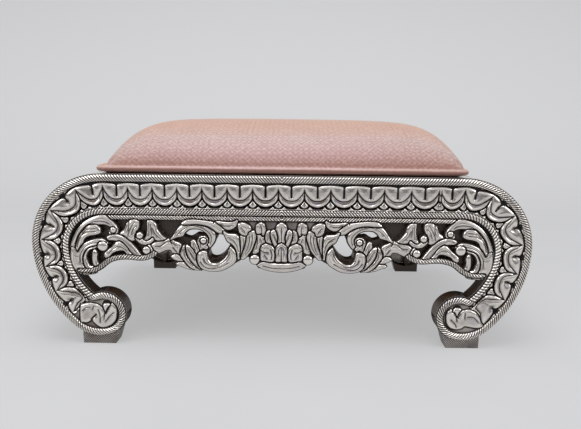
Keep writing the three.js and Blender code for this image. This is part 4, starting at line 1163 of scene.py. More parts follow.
# %% Leaves of the volute, which is the great curl in each half
VOLUTE_LEAVES = [
    ([134.5, 116, 130.5, 118.5, 126, 117.5, 122, 114, 118.5, 109, 114.5, 104.5, 123, 108.5, 128, 111,
      132.5, 113], []),
    ([128.5, 107, 125, 108.5, 119.5, 108, 113.5, 104.5, 105, 99.5, 114.5, 100.5, 122, 103.5, 127, 105], []),
    ([123, 121.5, 121, 127, 118.5, 129.5, 116.5, 127, 115.5, 121, 112.5, 114, 108.5, 108, 103, 102.5,
      98.5, 99, 107, 100, 113.5, 104, 118.5, 110.5, 122.5, 116.5],
     [[119, 125, 118, 117.5, 114.5, 110.5, 108, 104]]),
    ([109.5, 135.5, 106.5, 136.5, 104, 133, 101, 126.5, 100, 123, 102.5, 118.5, 103, 113.5, 106, 118,
      108.5, 124, 110, 130.5],
     [[107, 133, 106, 125.5, 104.5, 120]]),
    ([116, 129, 112.5, 128.5, 108.5, 125, 105.5, 119, 102.5, 112, 98.5, 105.5, 93.5, 100, 100.5, 101,
      107.5, 107, 113, 114.5, 115.5, 121.5],
     [[113.5, 125.5, 109.5, 119, 104.5, 110.5, 100, 104]]),
    ([135, 137, 130.5, 143.5, 125.5, 151, 120, 156, 113, 158.5, 104.5, 159, 96, 157.5, 89, 154,
      83.5, 149.5, 80.5, 144, 80.5, 137.5, 83.5, 132, 87.5, 127.5, 91.5, 129, 89, 133, 87.5, 139,
      90, 144.5, 94, 148, 100, 150.5, 106, 151, 112, 150, 117, 146, 120, 141.5, 126.5, 140, 131.5, 138],
     [[127, 142.5, 119.5, 149.5, 111, 154, 102.5, 154, 94, 151, 87.5, 145.5, 84.5, 139, 86.5, 132.5]]),
    ([121, 156.5, 116.5, 161, 108, 162, 98.5, 161.5, 90, 160.5, 82, 159, 75.5, 156, 70.5, 151,
      66.5, 145, 72, 145, 77.5, 146.5, 82.5, 150, 88.5, 153.5, 95, 155.5, 103.5, 156.5, 112, 156], []),
    ([101.5, 137.5, 99, 141, 94, 141.5, 90, 139, 89.5, 134.5, 91.5, 130, 89.5, 128, 91.5, 125.5,
      95.5, 126.5, 99, 125, 100.5, 129.5, 102, 133.5],
     [[99.5, 137, 98.5, 132, 98, 127.5]]),
    ([103, 113, 102.5, 118, 100, 121.5, 95.5, 123, 91.5, 122, 90.5, 117.5, 89, 112, 85.5, 107.5,
      80.5, 107, 75, 109, 69.5, 113.5, 65.5, 119, 64, 124.5, 62, 128.5, 58, 125, 55.5, 120, 55.5, 113.5,
      59, 107.5, 65.5, 103, 73.5, 99, 82.5, 98, 91, 98.5, 98, 101.5, 101.5, 106.5],
     [[95, 113.5, 93, 109, 87.5, 105.5, 80.5, 104.5, 74.5, 107, 68.5, 111.5, 64.5, 118.5, 63, 124],
      [99, 109, 93.5, 103, 85, 101, 75, 103, 65, 108.5]]),
    ([70.5, 147.5, 65, 145, 58.5, 144.5, 54, 143.5, 50.5, 138, 49, 130, 49, 122.5, 50, 116, 53, 114,
      54, 121.5, 56.5, 128, 60.5, 132.5, 65, 135, 67.5, 139.5],
     [[65, 141, 58.5, 137, 54.5, 131, 52, 122.5]]),
    ([79, 160, 68.5, 159.5, 60, 159.5, 53.5, 162, 54, 156.5, 57.5, 152.5, 63, 150, 68, 151, 72.5, 155],
     [[73, 156.5, 66, 154.5, 58.5, 156]]),
]
print("leaves of each volute:", len(VOLUTE_LEAVES))

# %% Leaves of the bouquet in the middle, and those that lie across its centre line
BOUQUET_LEAVES = [
    ([49.5, 142.5, 46, 143.5, 42.5, 142, 42, 136.5, 43.5, 129, 46.5, 120.5, 49.5, 116, 49, 126,
      49.5, 135],
     [[46.5, 140, 46, 132.5, 47.5, 123.5]]),
    ([31, 142.5, 27.5, 144.5, 23, 143.5, 20.5, 138, 18, 135, 23, 133, 26, 129.5, 27, 124, 30.5, 121,
      34.5, 121.5, 32.5, 129, 30.5, 136],
     [[29, 141, 29, 134, 31, 126],
      [25.5, 139.5, 24, 135.5]]),
    ([41.5, 143, 39, 147, 34.5, 149, 31.5, 147.5, 31, 140, 33.5, 132.5, 36.5, 125, 41, 119, 46, 114,
      49, 115, 46.5, 122.5, 44, 130, 42.5, 137],
     [[39, 143, 39, 136.5, 41.5, 127.5, 44.5, 120],
      [35.5, 145, 35.5, 136.5, 38, 127.5, 43, 119.5]]),
    ([52.5, 156.5, 48, 159, 42, 157.5, 38, 154.5, 37, 150.5, 40.5, 147.5, 42.5, 143.5, 47.5, 144,
      51, 147.5],
     [[49, 153, 45.5, 149, 44, 146]]),
    ([31, 152.5, 30, 156.5, 25, 159.5, 21, 157.5, 19.5, 152, 20, 146.5, 22.5, 143.5, 25, 145.5, 30, 146],
     [[25, 156, 24, 150.5, 24, 145.5]]),
    ([19.5, 140.5, 18.5, 147, 15, 149.5, 12.5, 147.5, 12, 140, 9.5, 133, 15, 133.5, 18.5, 136],
     [[16, 145.5, 16.5, 138.5]]),
    ([13, 147, 11, 150, 8, 150, 5, 147, 3, 141, 2, 134, 6.5, 129, 10, 133.5, 12.5, 140],
     [[10, 145.5, 7, 139.5, 5, 133.5]]),
    ([25.5, 126.5, 23.5, 131, 19, 133, 12.5, 131, 8.5, 126, 7, 119, 9, 112, 14, 109.5, 20, 110.5,
      25, 113, 25, 120],
     [[25, 124.5, 21, 122.5, 16.5, 122],
      [20.5, 119, 17.5, 114.5],
      [13, 126, 11.5, 120, 12, 114]]),
]
CENTRE_LEAVES = [
    ([6.5, 152, 5.5, 156, 0.5, 159.5, -5, 156, -6, 152, -4, 146.5, -3.5, 140.5, -4, 134.5, 0, 133,
      4, 134.5, 3.5, 140.5, 4.5, 146],
     [[0, 153.5, 0, 135]]),
    ([7, 124.5, 5.5, 130, 0, 134, -5.5, 130.5, -7, 124.5, -6.5, 118, -6.5, 111, 0, 110.5, 6.5, 111,
      6.5, 118],
     [[0, 127, 0, 111.5],
      [3.5, 120.5, 3, 126, 0, 129, -3, 126, -3.5, 120.5]]),
    ([29.5, 107, 22, 110, 12, 108.5, 0, 108, -12, 108.5, -21.5, 110.5, -29, 107.5, -23.5, 103,
      -12.5, 99.5, 0, 98, 12.5, 99, 24, 102.5],
     [[23, 105.5, 13, 103, 0, 102, -13, 103.5, -23, 106]]),
]
print("leaves of the bouquet:", len(BOUQUET_LEAVES), "a side and", len(CENTRE_LEAVES), "across")

# %% Pearls, ropes, lower edge and openings of the apron
# Pearls as x, z and radius
PEARLS = [(204.5, 148, 4), (218.5, 127.5, 6.4), (172.5, 141.5, 4.4), (165, 123, 5), (95, 136, 4),
          (32.5, 113, 6.2)]
LOWER_ROPE = [248, 96.5, 238, 96, 229.5, 97.5, 222, 101.5, 216.5, 106, 211, 110, 204, 112.5, 195.5, 114,
              185.5, 114, 175.5, 113, 167, 113.5, 159.5, 116.5, 155, 119.5]
LOWER_EDGE = [0, 98, 14, 99, 26, 102.5, 33, 106, 42, 114, 54, 107.5, 66, 101.5, 81, 99, 97, 102, 112, 107.5,
              128, 113, 136, 124, 152, 122, 162, 113, 176, 110.5, 204, 109.5, 216, 102, 230, 94, 256, 93]
OPENINGS = [
    [120.5, 140.5, 116, 145.5, 110.5, 149.5, 105, 150.5, 99, 149.5, 94.5, 147, 92, 143.5, 97.5, 142,
     104, 142.5, 109, 139.5, 114, 137.5],
    [76.5, 143, 69.5, 143.5, 66, 138, 64, 133, 64.5, 128, 68.5, 121.5, 73.5, 116, 80, 112.5, 86.5, 113.5,
     89, 119, 88, 124.5, 84.5, 130, 80, 136],
]
APRON_START, APRON_TOP = (0, 90), apron_high[2]
CARVING_DEPTH = 6
THIN_ROPE, THIN_RISE, THIN_PITCH, THIN_LEAN = 2.9, 2.9, 3.6, 0.8
LOWER_ROPE_HALF = 3.0


def pairs(numbers):
    """A flat list of places as rows of x and z."""
    return np.asarray(numbers, float).reshape(-1, 2)


def twisted(relief, line, half, rise, pitch, lean):
    """A thin twisted rope along a line."""
    part = relief.window(line.min(axis=0) - half - 3, line.max(axis=0) + half + 3)
    gap, along, offset = nearest(relief.x[part], relief.z[part], line)
    groove = (0.5 - 0.5 * np.cos(2 * np.pi * (along / pitch + lean * offset / half))) ** 1.1
    height = 0.5 + (rise - 1.3 * groove) * np.sqrt(1 - np.clip(gap / half, 0, 1) ** 2)
    relief.lay(part, gap - half, height, 0.75 * groove)


def under_leg(x, z):
    """How far a place is past the leg's inner edge."""
    gap, _, _ = nearest(x, z, inner_line)
    between_legs = np.vstack([inner_line, [[0, notch[1]], [0, RAIL_BOTTOM]]])
    return np.where(inside(x, z, between_legs), -gap, gap)


def apron_relief(cell):
    """The silver of the apron: rope and leaves, each pressing a line into those under it."""
    relief = Relief(APRON_START, (apron_high[0] + cell, APRON_TOP), cell)
    x, z = relief.x, relief.z
    # The ground behind the bouquet
    half = np.interp(z, (99, 101, 110, 125, 150, 162), (20, 27, 33, 38, 46, 50))
    ground = np.maximum(x - half, 100 + 3 * (x / 30) ** 2 - z)
    relief.edge = ground
    relief.height = np.where(ground < 0, 0.5, relief.height)
    relief.dark = np.where(ground < 0, 0.5, relief.dark)
    rope_height = APRON_TOP - THIN_ROPE
    top_rope = even(np.array([[-6, rope_height], [inner_shoulder[0] + 3, rope_height]]))
    twisted(relief, top_rope, THIN_ROPE, THIN_RISE, THIN_PITCH, -THIN_LEAN)
    for outline, veins in END_LEAVES + MIDDLE_LEAVES + VOLUTE_LEAVES + BOUQUET_LEAVES + CENTRE_LEAVES:
        relief.leaf(outline, veins, echo=0.45)
    for px, pz, radius in PEARLS:
        relief.pearl((px, pz), radius)
    twisted(relief, smooth_line(pairs(LOWER_ROPE)), LOWER_ROPE_HALF, THIN_RISE, THIN_PITCH, THIN_LEAN)
    # The sheet reaches the rail above, ends at the leg and goes round each opening
    web = np.maximum(APRON_TOP - 5.4 - z, x - inner_shoulder[0] - 8)
    relief.edge = np.minimum(relief.edge, web) - 0.8
    relief.edge = np.maximum(relief.edge, np.maximum(under_leg(x, z) + 0.3, z - APRON_TOP))
    relief.double()
    return relief


def apron_board(sheet, cell):
    """The wood of the apron: flush under the silver, cut deep between the leaves and pierced."""
    relief = Relief(APRON_START, (apron_high[0] + cell, APRON_TOP), cell)
    x, z = relief.x, relief.z
    lower_edge = smooth_line(pairs(LOWER_EDGE))
    relief.edge = np.interp(x, *lower_edge[np.argsort(lower_edge[:, 0])].T) - z
    for outline in OPENINGS:
        ring = smooth_line(list(pairs(outline)) + list(pairs(outline)[:2]))
        gap, _, _ = nearest(x, z, ring)
        relief.edge = np.maximum(relief.edge, np.where(inside(x, z, ring), gap, -gap))
    silver_edge = sample(sheet.edge, x, z, sheet.low, sheet.cell)
    relief.height = -CARVING_DEPTH * np.clip((silver_edge + 0.9) / cell, 0, 1)
    relief.edge = np.maximum(relief.edge, np.maximum(under_leg(x, z) + 0.5, z - APRON_TOP))
    relief.double()
    return relief


print("openings on each side of the apron:", len(OPENINGS))

# %% [markdown]
# Feet
#
# A small tapered block stands under each scroll, and the silver on its face is hatched with
# crossing lines. They could be laid one by one, as strokes. The remainder of a division gives
# evenly spaced lines for every point at once, so it takes one line of code for each set.

# %% Foot relief
TOE_WIDTH, TOE_TAPER = 41, 6
HATCH_PITCH, HATCH_WIDTH = 3, 0.55


def hatch_lines(count):
    """Lines a pitch apart: a crease in the middle of each stretch of the count."""
    return crease(count % HATCH_PITCH - HATCH_PITCH / 2, HATCH_WIDTH)


def foot_relief(hand, cell):
    """The small hatched face of a foot: two sets of slanting lines on a tapered block."""
    low, high = box_mm("front_right_foot_sheet")
    relief = Relief((low[0] - 1, low[2]), (high[0] + 1, high[2]), cell)
    x, z = relief.x, relief.z
    toe = high[0] - TOE_WIDTH - TOE_TAPER * np.clip((z - low[2]) / (high[2] - low[2]), 0, 1)
    gap, _, _ = nearest(x, z, outer_line)
    under = np.where(inside(x, z, leg_outline), gap, -gap)
    relief.edge = np.maximum(np.maximum(toe - x, x - high[0]), under + 0.3)
    hatch = np.maximum(hatch_lines(x + z), hatch_lines(x - z))
    relief.height = 0.6 - 0.45 * hatch
    relief.dark = 0.28 + 0.6 * hatch
    if hand < 0:
        relief.mirror()
    return relief


print("a foot's silver is", TOE_WIDTH, "mm wide at the floor")

# %% [markdown]
# Both frames
#
# The bench has two like frames. Only the front one is seen up close, so the rear one is made
# by the same functions on a coarser grid and turned round the middle. Each finished piece
# then takes the place of the plain node it stands for.

# %% Place all sheets of both frames
# Grid steps in millimetres for the front and the rear frame, and for the boards of the aprons
FINE, COARSE = 0.5, 0.7
BOARD_CELL, APRON_COARSER = 1.0, 1.13
FOOT_GROUND = CORE_FACE - 0.4


def dress(piece, slot, *nodes):
    """Rides a finished piece on the bench, in place of the plain nodes it stands for."""
    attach(piece, "root")
    if nodes:
        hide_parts(*nodes)
    print(piece.name, len(piece.data.polygons), "faces")
    return piece


for end, facing, cell in (("front", 1, FINE), ("rear", -1, COARSE)):
    dress(silver_sheet(f"{end}_rail_silver", rail_relief(cell), GROUND, SHEET_BACK, facing, silver),
          "silver", f"{end}_rail_sheet")
    apron = apron_relief(cell * APRON_COARSER)
    dress(silver_sheet(f"{end}_apron_silver", apron, GROUND, SHEET_BACK, facing, silver),
          "silver", f"{end}_apron_sheet")
    wood = apron_board(apron, BOARD_CELL)
    dress(silver_sheet(f"{end}_apron_board", wood, CORE_FACE, CORE_BACK, facing, dark_wood),
          "dark_wood", f"{end}_apron_core")
    for hand, sign in (("left", -1), ("right", 1)):
        side = sign * facing
        leg = leg_relief(side, cell)
        dress(silver_sheet(f"{end}_{hand}_leg_silver", leg, GROUND, SHEET_BACK, facing, silver),
              "silver", f"{end}_{hand}_leg_sheet")
        dress(board(f"{end}_{hand}_leg_board", leg, CORE_FACE, CORE_BACK, 0.0, facing, dark_wood),
              "dark_wood", f"{end}_{hand}_leg_core")
        foot = foot_relief(side, cell)
        dress(silver_sheet(f"{end}_{hand}_foot_silver", foot, FOOT_GROUND, SHEET_BACK, facing, silver),
              "silver", f"{end}_{hand}_foot_sheet")

# %% [markdown]
# Sheets bent over edges
#
# The silver also lies over the top of each frame, and one sheet goes over each rounded end of
# the bench, down to a low arch. Its pattern can't be seen in the photo, so it has the frames'
# rope for a border and plain lozenges with a round boss inside. Each sheet is two grids that
# face away from each other, with a strip of faces round their rims. A Solidify modifier could
# give the thickness too, but two grids let the front be embossed and the back stay smooth.

# %% A thin sheet between two grids


def plate(name, outer, inner, material, sharp=40):
    """A thin solid between two grids of places, the outer one and the inner one behind it."""
    rows, columns = outer.shape[:2]
    index = np.arange(rows * columns).reshape(rows, columns)
    front = np.array(grid_faces(rows, columns))
    rim = np.concatenate([index[0, :-1], index[:-1, -1], index[-1, :0:-1], index[:0:-1, 0]])
    ahead, back = np.roll(rim, -1), rows * columns
    side = np.stack([ahead, rim, rim + back, ahead + back], axis=1)
    points = np.vstack([outer.reshape(-1, 3), inner.reshape(-1, 3)])
    faces = np.vstack([front, front[:, ::-1] + back, side])
    piece = make_piece(name, points, faces.tolist(), material, sharp=sharp)
    close_piece(piece, sharp=sharp)
    return piece


def tarnish_all(piece, values):
    """Writes how tarnished each point of a silver piece is."""
    attribute = piece.data.attributes.new("tarnish_and_shade", "FLOAT", "POINT")
    attribute.data.foreach_set("value", np.asarray(values, np.float32))


# %% Edging on the top and the outer edge of each frame
END_LOW, END_STEP = 91.6, 1.7
EDGING_THICK, EDGING_GAP, EDGING_TARNISH = 0.3, 0.02, 0.08
EDGING_FRONT, EDGING_BACK = 173.1, 153.2

# The right end's outline, from the top down, and the way out of it at each point
end_line = outer_line[(outer_line[:, 0] >= shoulder[0]) & (outer_line[:, 1] >= END_LOW)]
end_line = even(end_line, END_STEP)
end_ahead = np.gradient(end_line, axis=0)
end_ahead /= np.hypot(*end_ahead.T)[:, None]
end_out = np.stack([end_ahead[:, 1], -end_ahead[:, 0]], axis=1)
end_out *= np.sign(((end_line - shoulder) * end_out).sum(axis=1))[:, None]
# Up the right end, over the top and down the left end
edge_line = np.vstack([end_line[::-1], end_line * (-1, 1)])
edge_out = np.vstack([end_out[::-1], end_out * (-1, 1)])


def edging_strip(rise, facing):
    """The frame's edge line pushed out by a rise, once at the front and once at the back."""
    line = edge_line + edge_out * rise
    return np.stack([
        np.column_stack([line[:, 0], np.full(len(line), -facing * y), line[:, 1]])
        for y in (EDGING_FRONT, EDGING_BACK)
    ])


for end, facing in (("front", 1), ("rear", -1)):
    outer, inner = (edging_strip(rise, facing) for rise in (EDGING_THICK, EDGING_GAP))
    edging = plate(f"{end}_edging", outer, inner, silver)
    tarnish_all(edging, np.full(len(edging.data.vertices), EDGING_TARNISH))
    dress(edging, "silver")

# %% Places on the sheet over an end
END_HALF, END_COLUMNS = 152.6, 181
ARCH_HALF, ARCH_RISE = 110, 34
end_along = np.append(0, np.cumsum(np.hypot(*np.diff(end_line, axis=0).T)))
end_y = np.linspace(-END_HALF, END_HALF, END_COLUMNS)
# The lower edge is a flat arch, half an ellipse, so each column of the grid ends on it
arch_z = END_LOW + ARCH_RISE * np.sqrt(np.clip(1 - (end_y / ARCH_HALF) ** 2, 0, 1))
arch_along = np.interp(-arch_z, -end_line[:, 1], end_along)
share, over = np.meshgrid(np.linspace(0, 1, len(end_line)), end_y, indexing="ij")
along = share * arch_along
end_place, end_normal = (
    np.stack([np.interp(along, end_along, values[:, i]) for i in (0, 1)], axis=-1)
    for values in (end_line, end_out)
)
from_arch, _, _ = nearest(along, over, even(np.stack([arch_along, end_y], axis=1)))
in_from_end = np.minimum(np.minimum(END_HALF - np.abs(over), along), from_arch)
print("the arch leaves", round(arch_along.min()), "mm of the", round(end_along[-1]), "mm round an end")

# %% Pattern of the sheet over an end
LOZENGE, LOZENGE_FLOOR = 21.0, -0.9
BOSS_RADIUS, BOSS_RISE = 5, 0.9
BORDER_HALF, BORDER_PITCH = 3.6, 6.0


def from_middle(count):
    """How far a count is from the middle of its lozenge, below it or above it."""
    return count % LOZENGE - LOZENGE / 2


# Two slanting counts: their middles are the ridges, and both are whole at a boss
rising, falling = along + over, along - over
ridge = np.minimum(np.abs(from_middle(rising)), np.abs(from_middle(falling)))
end_height = LOZENGE_FLOOR + 0.55 * crease(ridge, 1.6)
end_dark = 0.55 * crease(ridge - 2.6, 0.9)
centre = np.hypot(from_middle(rising + LOZENGE / 2), from_middle(falling + LOZENGE / 2))
boss = BOSS_RISE * np.sqrt(np.clip(1 - (centre / BOSS_RADIUS) ** 2, 0, 1))
end_height = np.maximum(end_height, LOZENGE_FLOOR + boss)
end_dark = np.maximum(end_dark, 0.8 * crease(centre - 5.6, 0.8))
rope_height, rope_dark = rope(in_from_end, rising / BORDER_PITCH, BORDER_HALF, 0.0)
on_border = in_from_end < 2 * BORDER_HALF
end_height = np.where(on_border, LOZENGE_FLOOR + 0.22 * rope_height, end_height)
end_dark = np.where(on_border, rope_dark, end_dark)

# %% Sheets over both ends
END_THICK = 1.1


def bent(offset, sign):
    """The flat pattern laid on the right end, or with sign -1 on the left, and moved out."""
    place = end_place + end_normal * offset[..., None]
    return np.stack([sign * place[..., 0], over, place[..., 1]], axis=-1)


for hand, sign in (("left", -1), ("right", 1)):
    face, back = bent(end_height - 0.05, sign), bent(np.full(along.shape, -END_THICK), sign)
    sheet = plate(f"{hand}_end_silver", face, back, silver)
    tarnish_all(sheet, np.append(end_dark.ravel(), np.zeros(end_dark.size)))
    dress(sheet, "silver", f"{hand}_end_sheet")

# %% Dust cloth under the cushion
CLOTH_INSET, CLOTH_WAVE = 0.15, 0.12
cloth_low, cloth_high = box_mm("cushion_dust_cloth")
cloth_x, cloth_y = np.meshgrid(np.linspace(cloth_low[0], cloth_high[0], 65),
                               np.linspace(cloth_low[1], cloth_high[1], 49), indexing="ij")
wave = CLOTH_WAVE * np.sin(cloth_x / 37) * np.sin(cloth_y / 29 + 1)
cloth_under = np.stack([cloth_x, cloth_y, cloth_low[2] + CLOTH_INSET + wave], axis=-1)
cloth_over = np.stack([cloth_x, cloth_y, cloth_high[2] - CLOTH_INSET + wave], axis=-1)
dust = plate("cushion_lining", cloth_over, cloth_under, lining)
dress(dust, "dust_cloth", "cushion_dust_cloth")

# %% [markdown]
# Cushion
#
# The cushion is a foam block under figured satin. Its ends rise steeply to a long flat top,
# and front and back roll over slowly. The cover is one grid over the plan, which is a
# rectangle with round corners whose sides are drawn in between them.

# %% Cushion crown
cover_low, cover_high = box_mm("cushion_cover")
CROWN_HALF = np.array([218.3, 167.0])
CROWN_SHIFT = 3.2
CORNER_RADIUS, DRAW_IN = 14, 2.5
CROWN_FOOT, CROWN_TOP = 224.5, cover_high[2] - 0.5
END_POWER, END_ROUND, SIDE_POWER, SIDE_ROUND = 8.8, 0.41, 2.9, 0.68
CROWN_POINTS = (133, 101)
EDGE_CROWDING = 1.35


def plan_edge(a, b, half_x, half_y):
    """Maps a square of -1 to 1 to the cushion's plan. Sides are drawn in at their middle. In
    a corner, the greater of the two distances from the corner's centre becomes a radius."""
    reach_x, reach_y = np.abs(a) * half_x, np.abs(b) * half_y
    past_x = np.clip(reach_x - half_x + CORNER_RADIUS, 0, None)
    past_y = np.clip(reach_y - half_y + CORNER_RADIUS, 0, None)
    in_corner = (past_x > 0) & (past_y > 0)
    shrink = np.maximum(past_x, past_y) / np.maximum(np.hypot(past_x, past_y), 1e-6)
    shrink = np.where(in_corner, shrink, 1)
    reach_x = reach_x + past_x * (shrink - 1)
    reach_y = reach_y + past_y * (shrink - 1)
    x = np.sign(a) * (reach_x - DRAW_IN * np.abs(a) * (1 - b**2))
    y = np.sign(b) * (reach_y - DRAW_IN * np.abs(b) * (1 - a**2))
    return x, y


def crowded(count):
    """Places from -1 to 1 that follow a sine, so that they stand closer near both ends."""
    return np.sin(np.linspace(-1, 1, count) * EDGE_CROWDING) / math.sin(EDGE_CROWDING)


def cushion_crown():
    """The crown over the plan: its foot's height plus the rise times a power curve each way."""
    a, b = np.meshgrid(*[crowded(count) for count in CROWN_POINTS])
    x, y = plan_edge(a, b, *CROWN_HALF)
    rise = (1 - np.abs(a) ** END_POWER) ** END_ROUND * (1 - np.abs(b) ** SIDE_POWER) ** SIDE_ROUND
    return np.stack([x + CROWN_SHIFT, y, CROWN_FOOT + (CROWN_TOP - CROWN_FOOT) * rise], axis=-1)


def grid_rim(rows, columns):
    """The numbers of a grid's outer points, once round."""
    last = rows * columns - 1
    return np.concatenate([
        np.arange(columns), np.arange(2, rows + 1) * columns - 1,
        last - np.arange(1, columns), np.arange(rows - 2, 0, -1) * columns,
    ])


crown = cushion_crown()
rows, columns = crown.shape[:2]
# The length of cloth along each row and each column, counted from the middle
long_way = np.cumsum(np.linalg.norm(np.diff(crown, axis=1, prepend=crown[:, :1]), axis=2), axis=1)
short_way = np.cumsum(np.linalg.norm(np.diff(crown, axis=0, prepend=crown[:1]), axis=2), axis=0)
crown_uv = np.stack([long_way - long_way[:, columns // 2, None], short_way - short_way[rows // 2]], axis=-1)
print("cloth over the crown:", np.ptp(long_way).round(), "by", np.ptp(short_way).round(), "mm")

# %% Cushion cover
rim = grid_rim(rows, columns)
rim_x, rim_y, _ = crown.reshape(-1, 3)[rim].T
rim_uv = crown_uv.reshape(-1, 2)[rim]
outward = np.stack([np.sign(rim_x) * (np.abs(rim_x - CROWN_SHIFT) > CROWN_HALF[0] - CORNER_RADIUS),
                    np.sign(rim_y) * (np.abs(rim_y) > CROWN_HALF[1] - CORNER_RADIUS)], axis=1)
PIPING_HALF = np.array([223.4, 171.3])
PIPING_Z, PIPING_UP, PIPING_OUT = 222.0, 3.4, 3.0


def rim_ring(half, z):
    """The rim's points moved to another size of the plan, at a height."""
    scale_x = half[0] / CROWN_HALF[0]
    scale_y = half[1] / CROWN_HALF[1]
    return np.stack([(rim_x - CROWN_SHIFT) * scale_x, rim_y * scale_y, np.full(len(rim), z)], axis=1)


# Below the crown a flat flange runs out to the piping, and the cloth turns down and under
SKIRT_RINGS = [
    (PIPING_HALF - 0.5, PIPING_Z + 2.2),
    (PIPING_HALF - 1.0, PIPING_Z - 2.0),
    (PIPING_HALF - 5, PIPING_Z - 4.4),
    (PIPING_HALF - 5.4, cover_low[2] + 0.1),
    (PIPING_HALF - 14, cover_low[2] + 0.1),
]
SKIRT_CLOTH = 5
cover_points = np.vstack([crown.reshape(-1, 3)] + [rim_ring(half, z) for half, z in SKIRT_RINGS])
skirt_uv = [rim_uv + outward * SKIRT_CLOTH * (i + 1) for i in range(len(SKIRT_RINGS))]
cover_uv = np.vstack([crown_uv.reshape(-1, 2)] + skirt_uv)
around = len(rim)
here, ahead = np.arange(around), (np.arange(around) + 1) % around
cover_faces = grid_faces(rows, columns)
above = rim
for i in range(len(SKIRT_RINGS)):
    below = rows * columns + i * around + here
    cover_faces += np.stack([above[ahead], above[here], below[here], below[ahead]], axis=1).tolist()
    above = below


def lay_cloth_map(piece, uv_mm):
    """Writes a UV map called cloth from a place in millimetres of cloth for each point."""
    loops = np.empty(len(piece.data.loops), np.int32)
    piece.data.loops.foreach_get("vertex_index", loops)
    layer = piece.data.uv_layers.get("cloth") or piece.data.uv_layers.new(name="cloth")
    layer.data.foreach_set("uv", (uv_mm[loops] * MM).astype(np.float32).ravel())


cushion = make_piece("cushion", cover_points, cover_faces, satin, sharp=180)
lay_cloth_map(cushion, cover_uv)
print("cushion cover:", len(cover_points), "points")

# %% [markdown]
# Stuffing the cushion
#
# Blender's Cloth lets the stuffing press the satin out. The cloth is held where it is sewn to
# the piping, gravity is off, and a soft pressure swells it for twenty frames. The result is
# read back as an array, no point is let move more than a set way, and the modifier goes.

# %% Cloth simulation
SWELL_LIMIT, SWELL_FRAMES, STUFFING = 4.0, 20, 1.5


def stuff(piece, held, pressure, limit):
    """Swells a piece by cloth simulation with the points in held kept in place."""
    before = np.empty(len(piece.data.vertices) * 3, np.float32)
    piece.data.vertices.foreach_get("co", before)
    group = piece.vertex_groups.new(name="sewn")
    group.add(held.tolist(), 1.0, "REPLACE")
    cloth = piece.modifiers.new("stuffing", "CLOTH")
    cloth.settings.vertex_group_mass = "sewn"
    cloth.settings.quality = 5
    cloth.settings.mass = 0.2
    cloth.settings.tension_stiffness = 30
    cloth.settings.compression_stiffness = 30
    cloth.settings.bending_stiffness = 2
    cloth.settings.use_pressure = True
    cloth.settings.uniform_pressure_force = pressure
    cloth.settings.effector_weights.gravity = 0
    cloth.collision_settings.use_collision = False
    cloth.point_cache.frame_end = SWELL_FRAMES
    for frame_number in range(1, SWELL_FRAMES + 1):
        bpy.context.scene.frame_set(frame_number)
    swollen = piece.evaluated_get(bpy.context.evaluated_depsgraph_get()).to_mesh()
    after = np.empty_like(before)
    swollen.vertices.foreach_get("co", after)
    move = (after - before).reshape(-1, 3)
    size = np.linalg.norm(move, axis=1, keepdims=True) / MM
    move *= np.minimum(1, limit / np.maximum(size, 1e-6))
    piece.modifiers.remove(cloth)
    piece.vertex_groups.remove(group)
    bpy.context.scene.frame_set(1)
    piece.data.vertices.foreach_set("co", (before.reshape(-1, 3) + move).ravel())
    piece.data.update()
    print(piece.name, "swells up to", size.max().round(1), "mm")


sewn = np.concatenate([rim, np.arange(rows * columns, len(cover_points))])
stuff(cushion, sewn, STUFFING, SWELL_LIMIT)
close_piece(cushion, sharp=180)
subdivision = cushion.modifiers.new("smooth", "SUBSURF")
subdivision.levels = subdivision.render_levels = 1
dress(cushion, "satin", "cushion_cover", "cushion_foam")

# %% [markdown]
# Piping
#
# Where the crown meets the base, a strip of plain satin is rolled over a cord and sewn in all
# round. It is an egg-shaped section carried round the plan. A shallow stitched line runs
# along it, and the strip puckers a little between the stitches.

# %% Piping
PIPING_STEPS, PIPING_SIDES = 900, 20
STITCH, SEAM_ANGLE = 5.5, 0.9


def piping_ring():
    """An oval carried round the plan, square to its edge: out times cosine, up times sine."""
    turn = np.linspace(0, 2 * np.pi, PIPING_STEPS, endpoint=False)
    stretch = 1 / np.maximum(np.abs(np.cos(turn)), np.abs(np.sin(turn)))
    x, y = plan_edge(np.cos(turn) * stretch, np.sin(turn) * stretch, *PIPING_HALF)
    line = np.stack([x, y], axis=1)
    ahead = np.roll(line, -1, axis=0) - np.roll(line, 1, axis=0)
    ahead /= np.hypot(*ahead.T)[:, None]
    length = np.append(0, np.cumsum(np.hypot(*np.diff(line, axis=0).T)))[:, None]
    angle = np.linspace(0, 2 * np.pi, PIPING_SIDES, endpoint=False)
    seam = crease(angle - SEAM_ANGLE, 0.22)
    pucker = 0.06 * np.sin(2 * np.pi * length / STITCH) * crease(angle - SEAM_ANGLE, 0.7)
    slack = 0.05 * np.sin(length / 23.0) + 0.03 * np.sin(length / 9.1 + 1.3)
    size = 1 + slack + pucker - 0.16 * seam
    out, up = PIPING_OUT * size * np.cos(angle), PIPING_UP * size * np.sin(angle)
    ring_x, ring_y = x[:, None] + ahead[:, 1:] * out, y[:, None] - ahead[:, :1] * out
    ring = np.stack([ring_x, ring_y, PIPING_Z + up], axis=-1)
    uv = np.stack(np.broadcast_arrays(length, angle * PIPING_UP), axis=-1)
    return ring.reshape(-1, 3), uv.reshape(-1, 2)


piping_points, piping_uv = piping_ring()
piping_faces = np.array(grid_faces(PIPING_STEPS + 1, PIPING_SIDES, wrap=True)) % len(piping_points)
piping = make_piece("cushion_piping", piping_points, piping_faces.tolist(), piping_satin, sharp=180)
lay_cloth_map(piping, piping_uv)
close_piece(piping, sharp=180)
dress(piping, "piping", "cushion_welt")

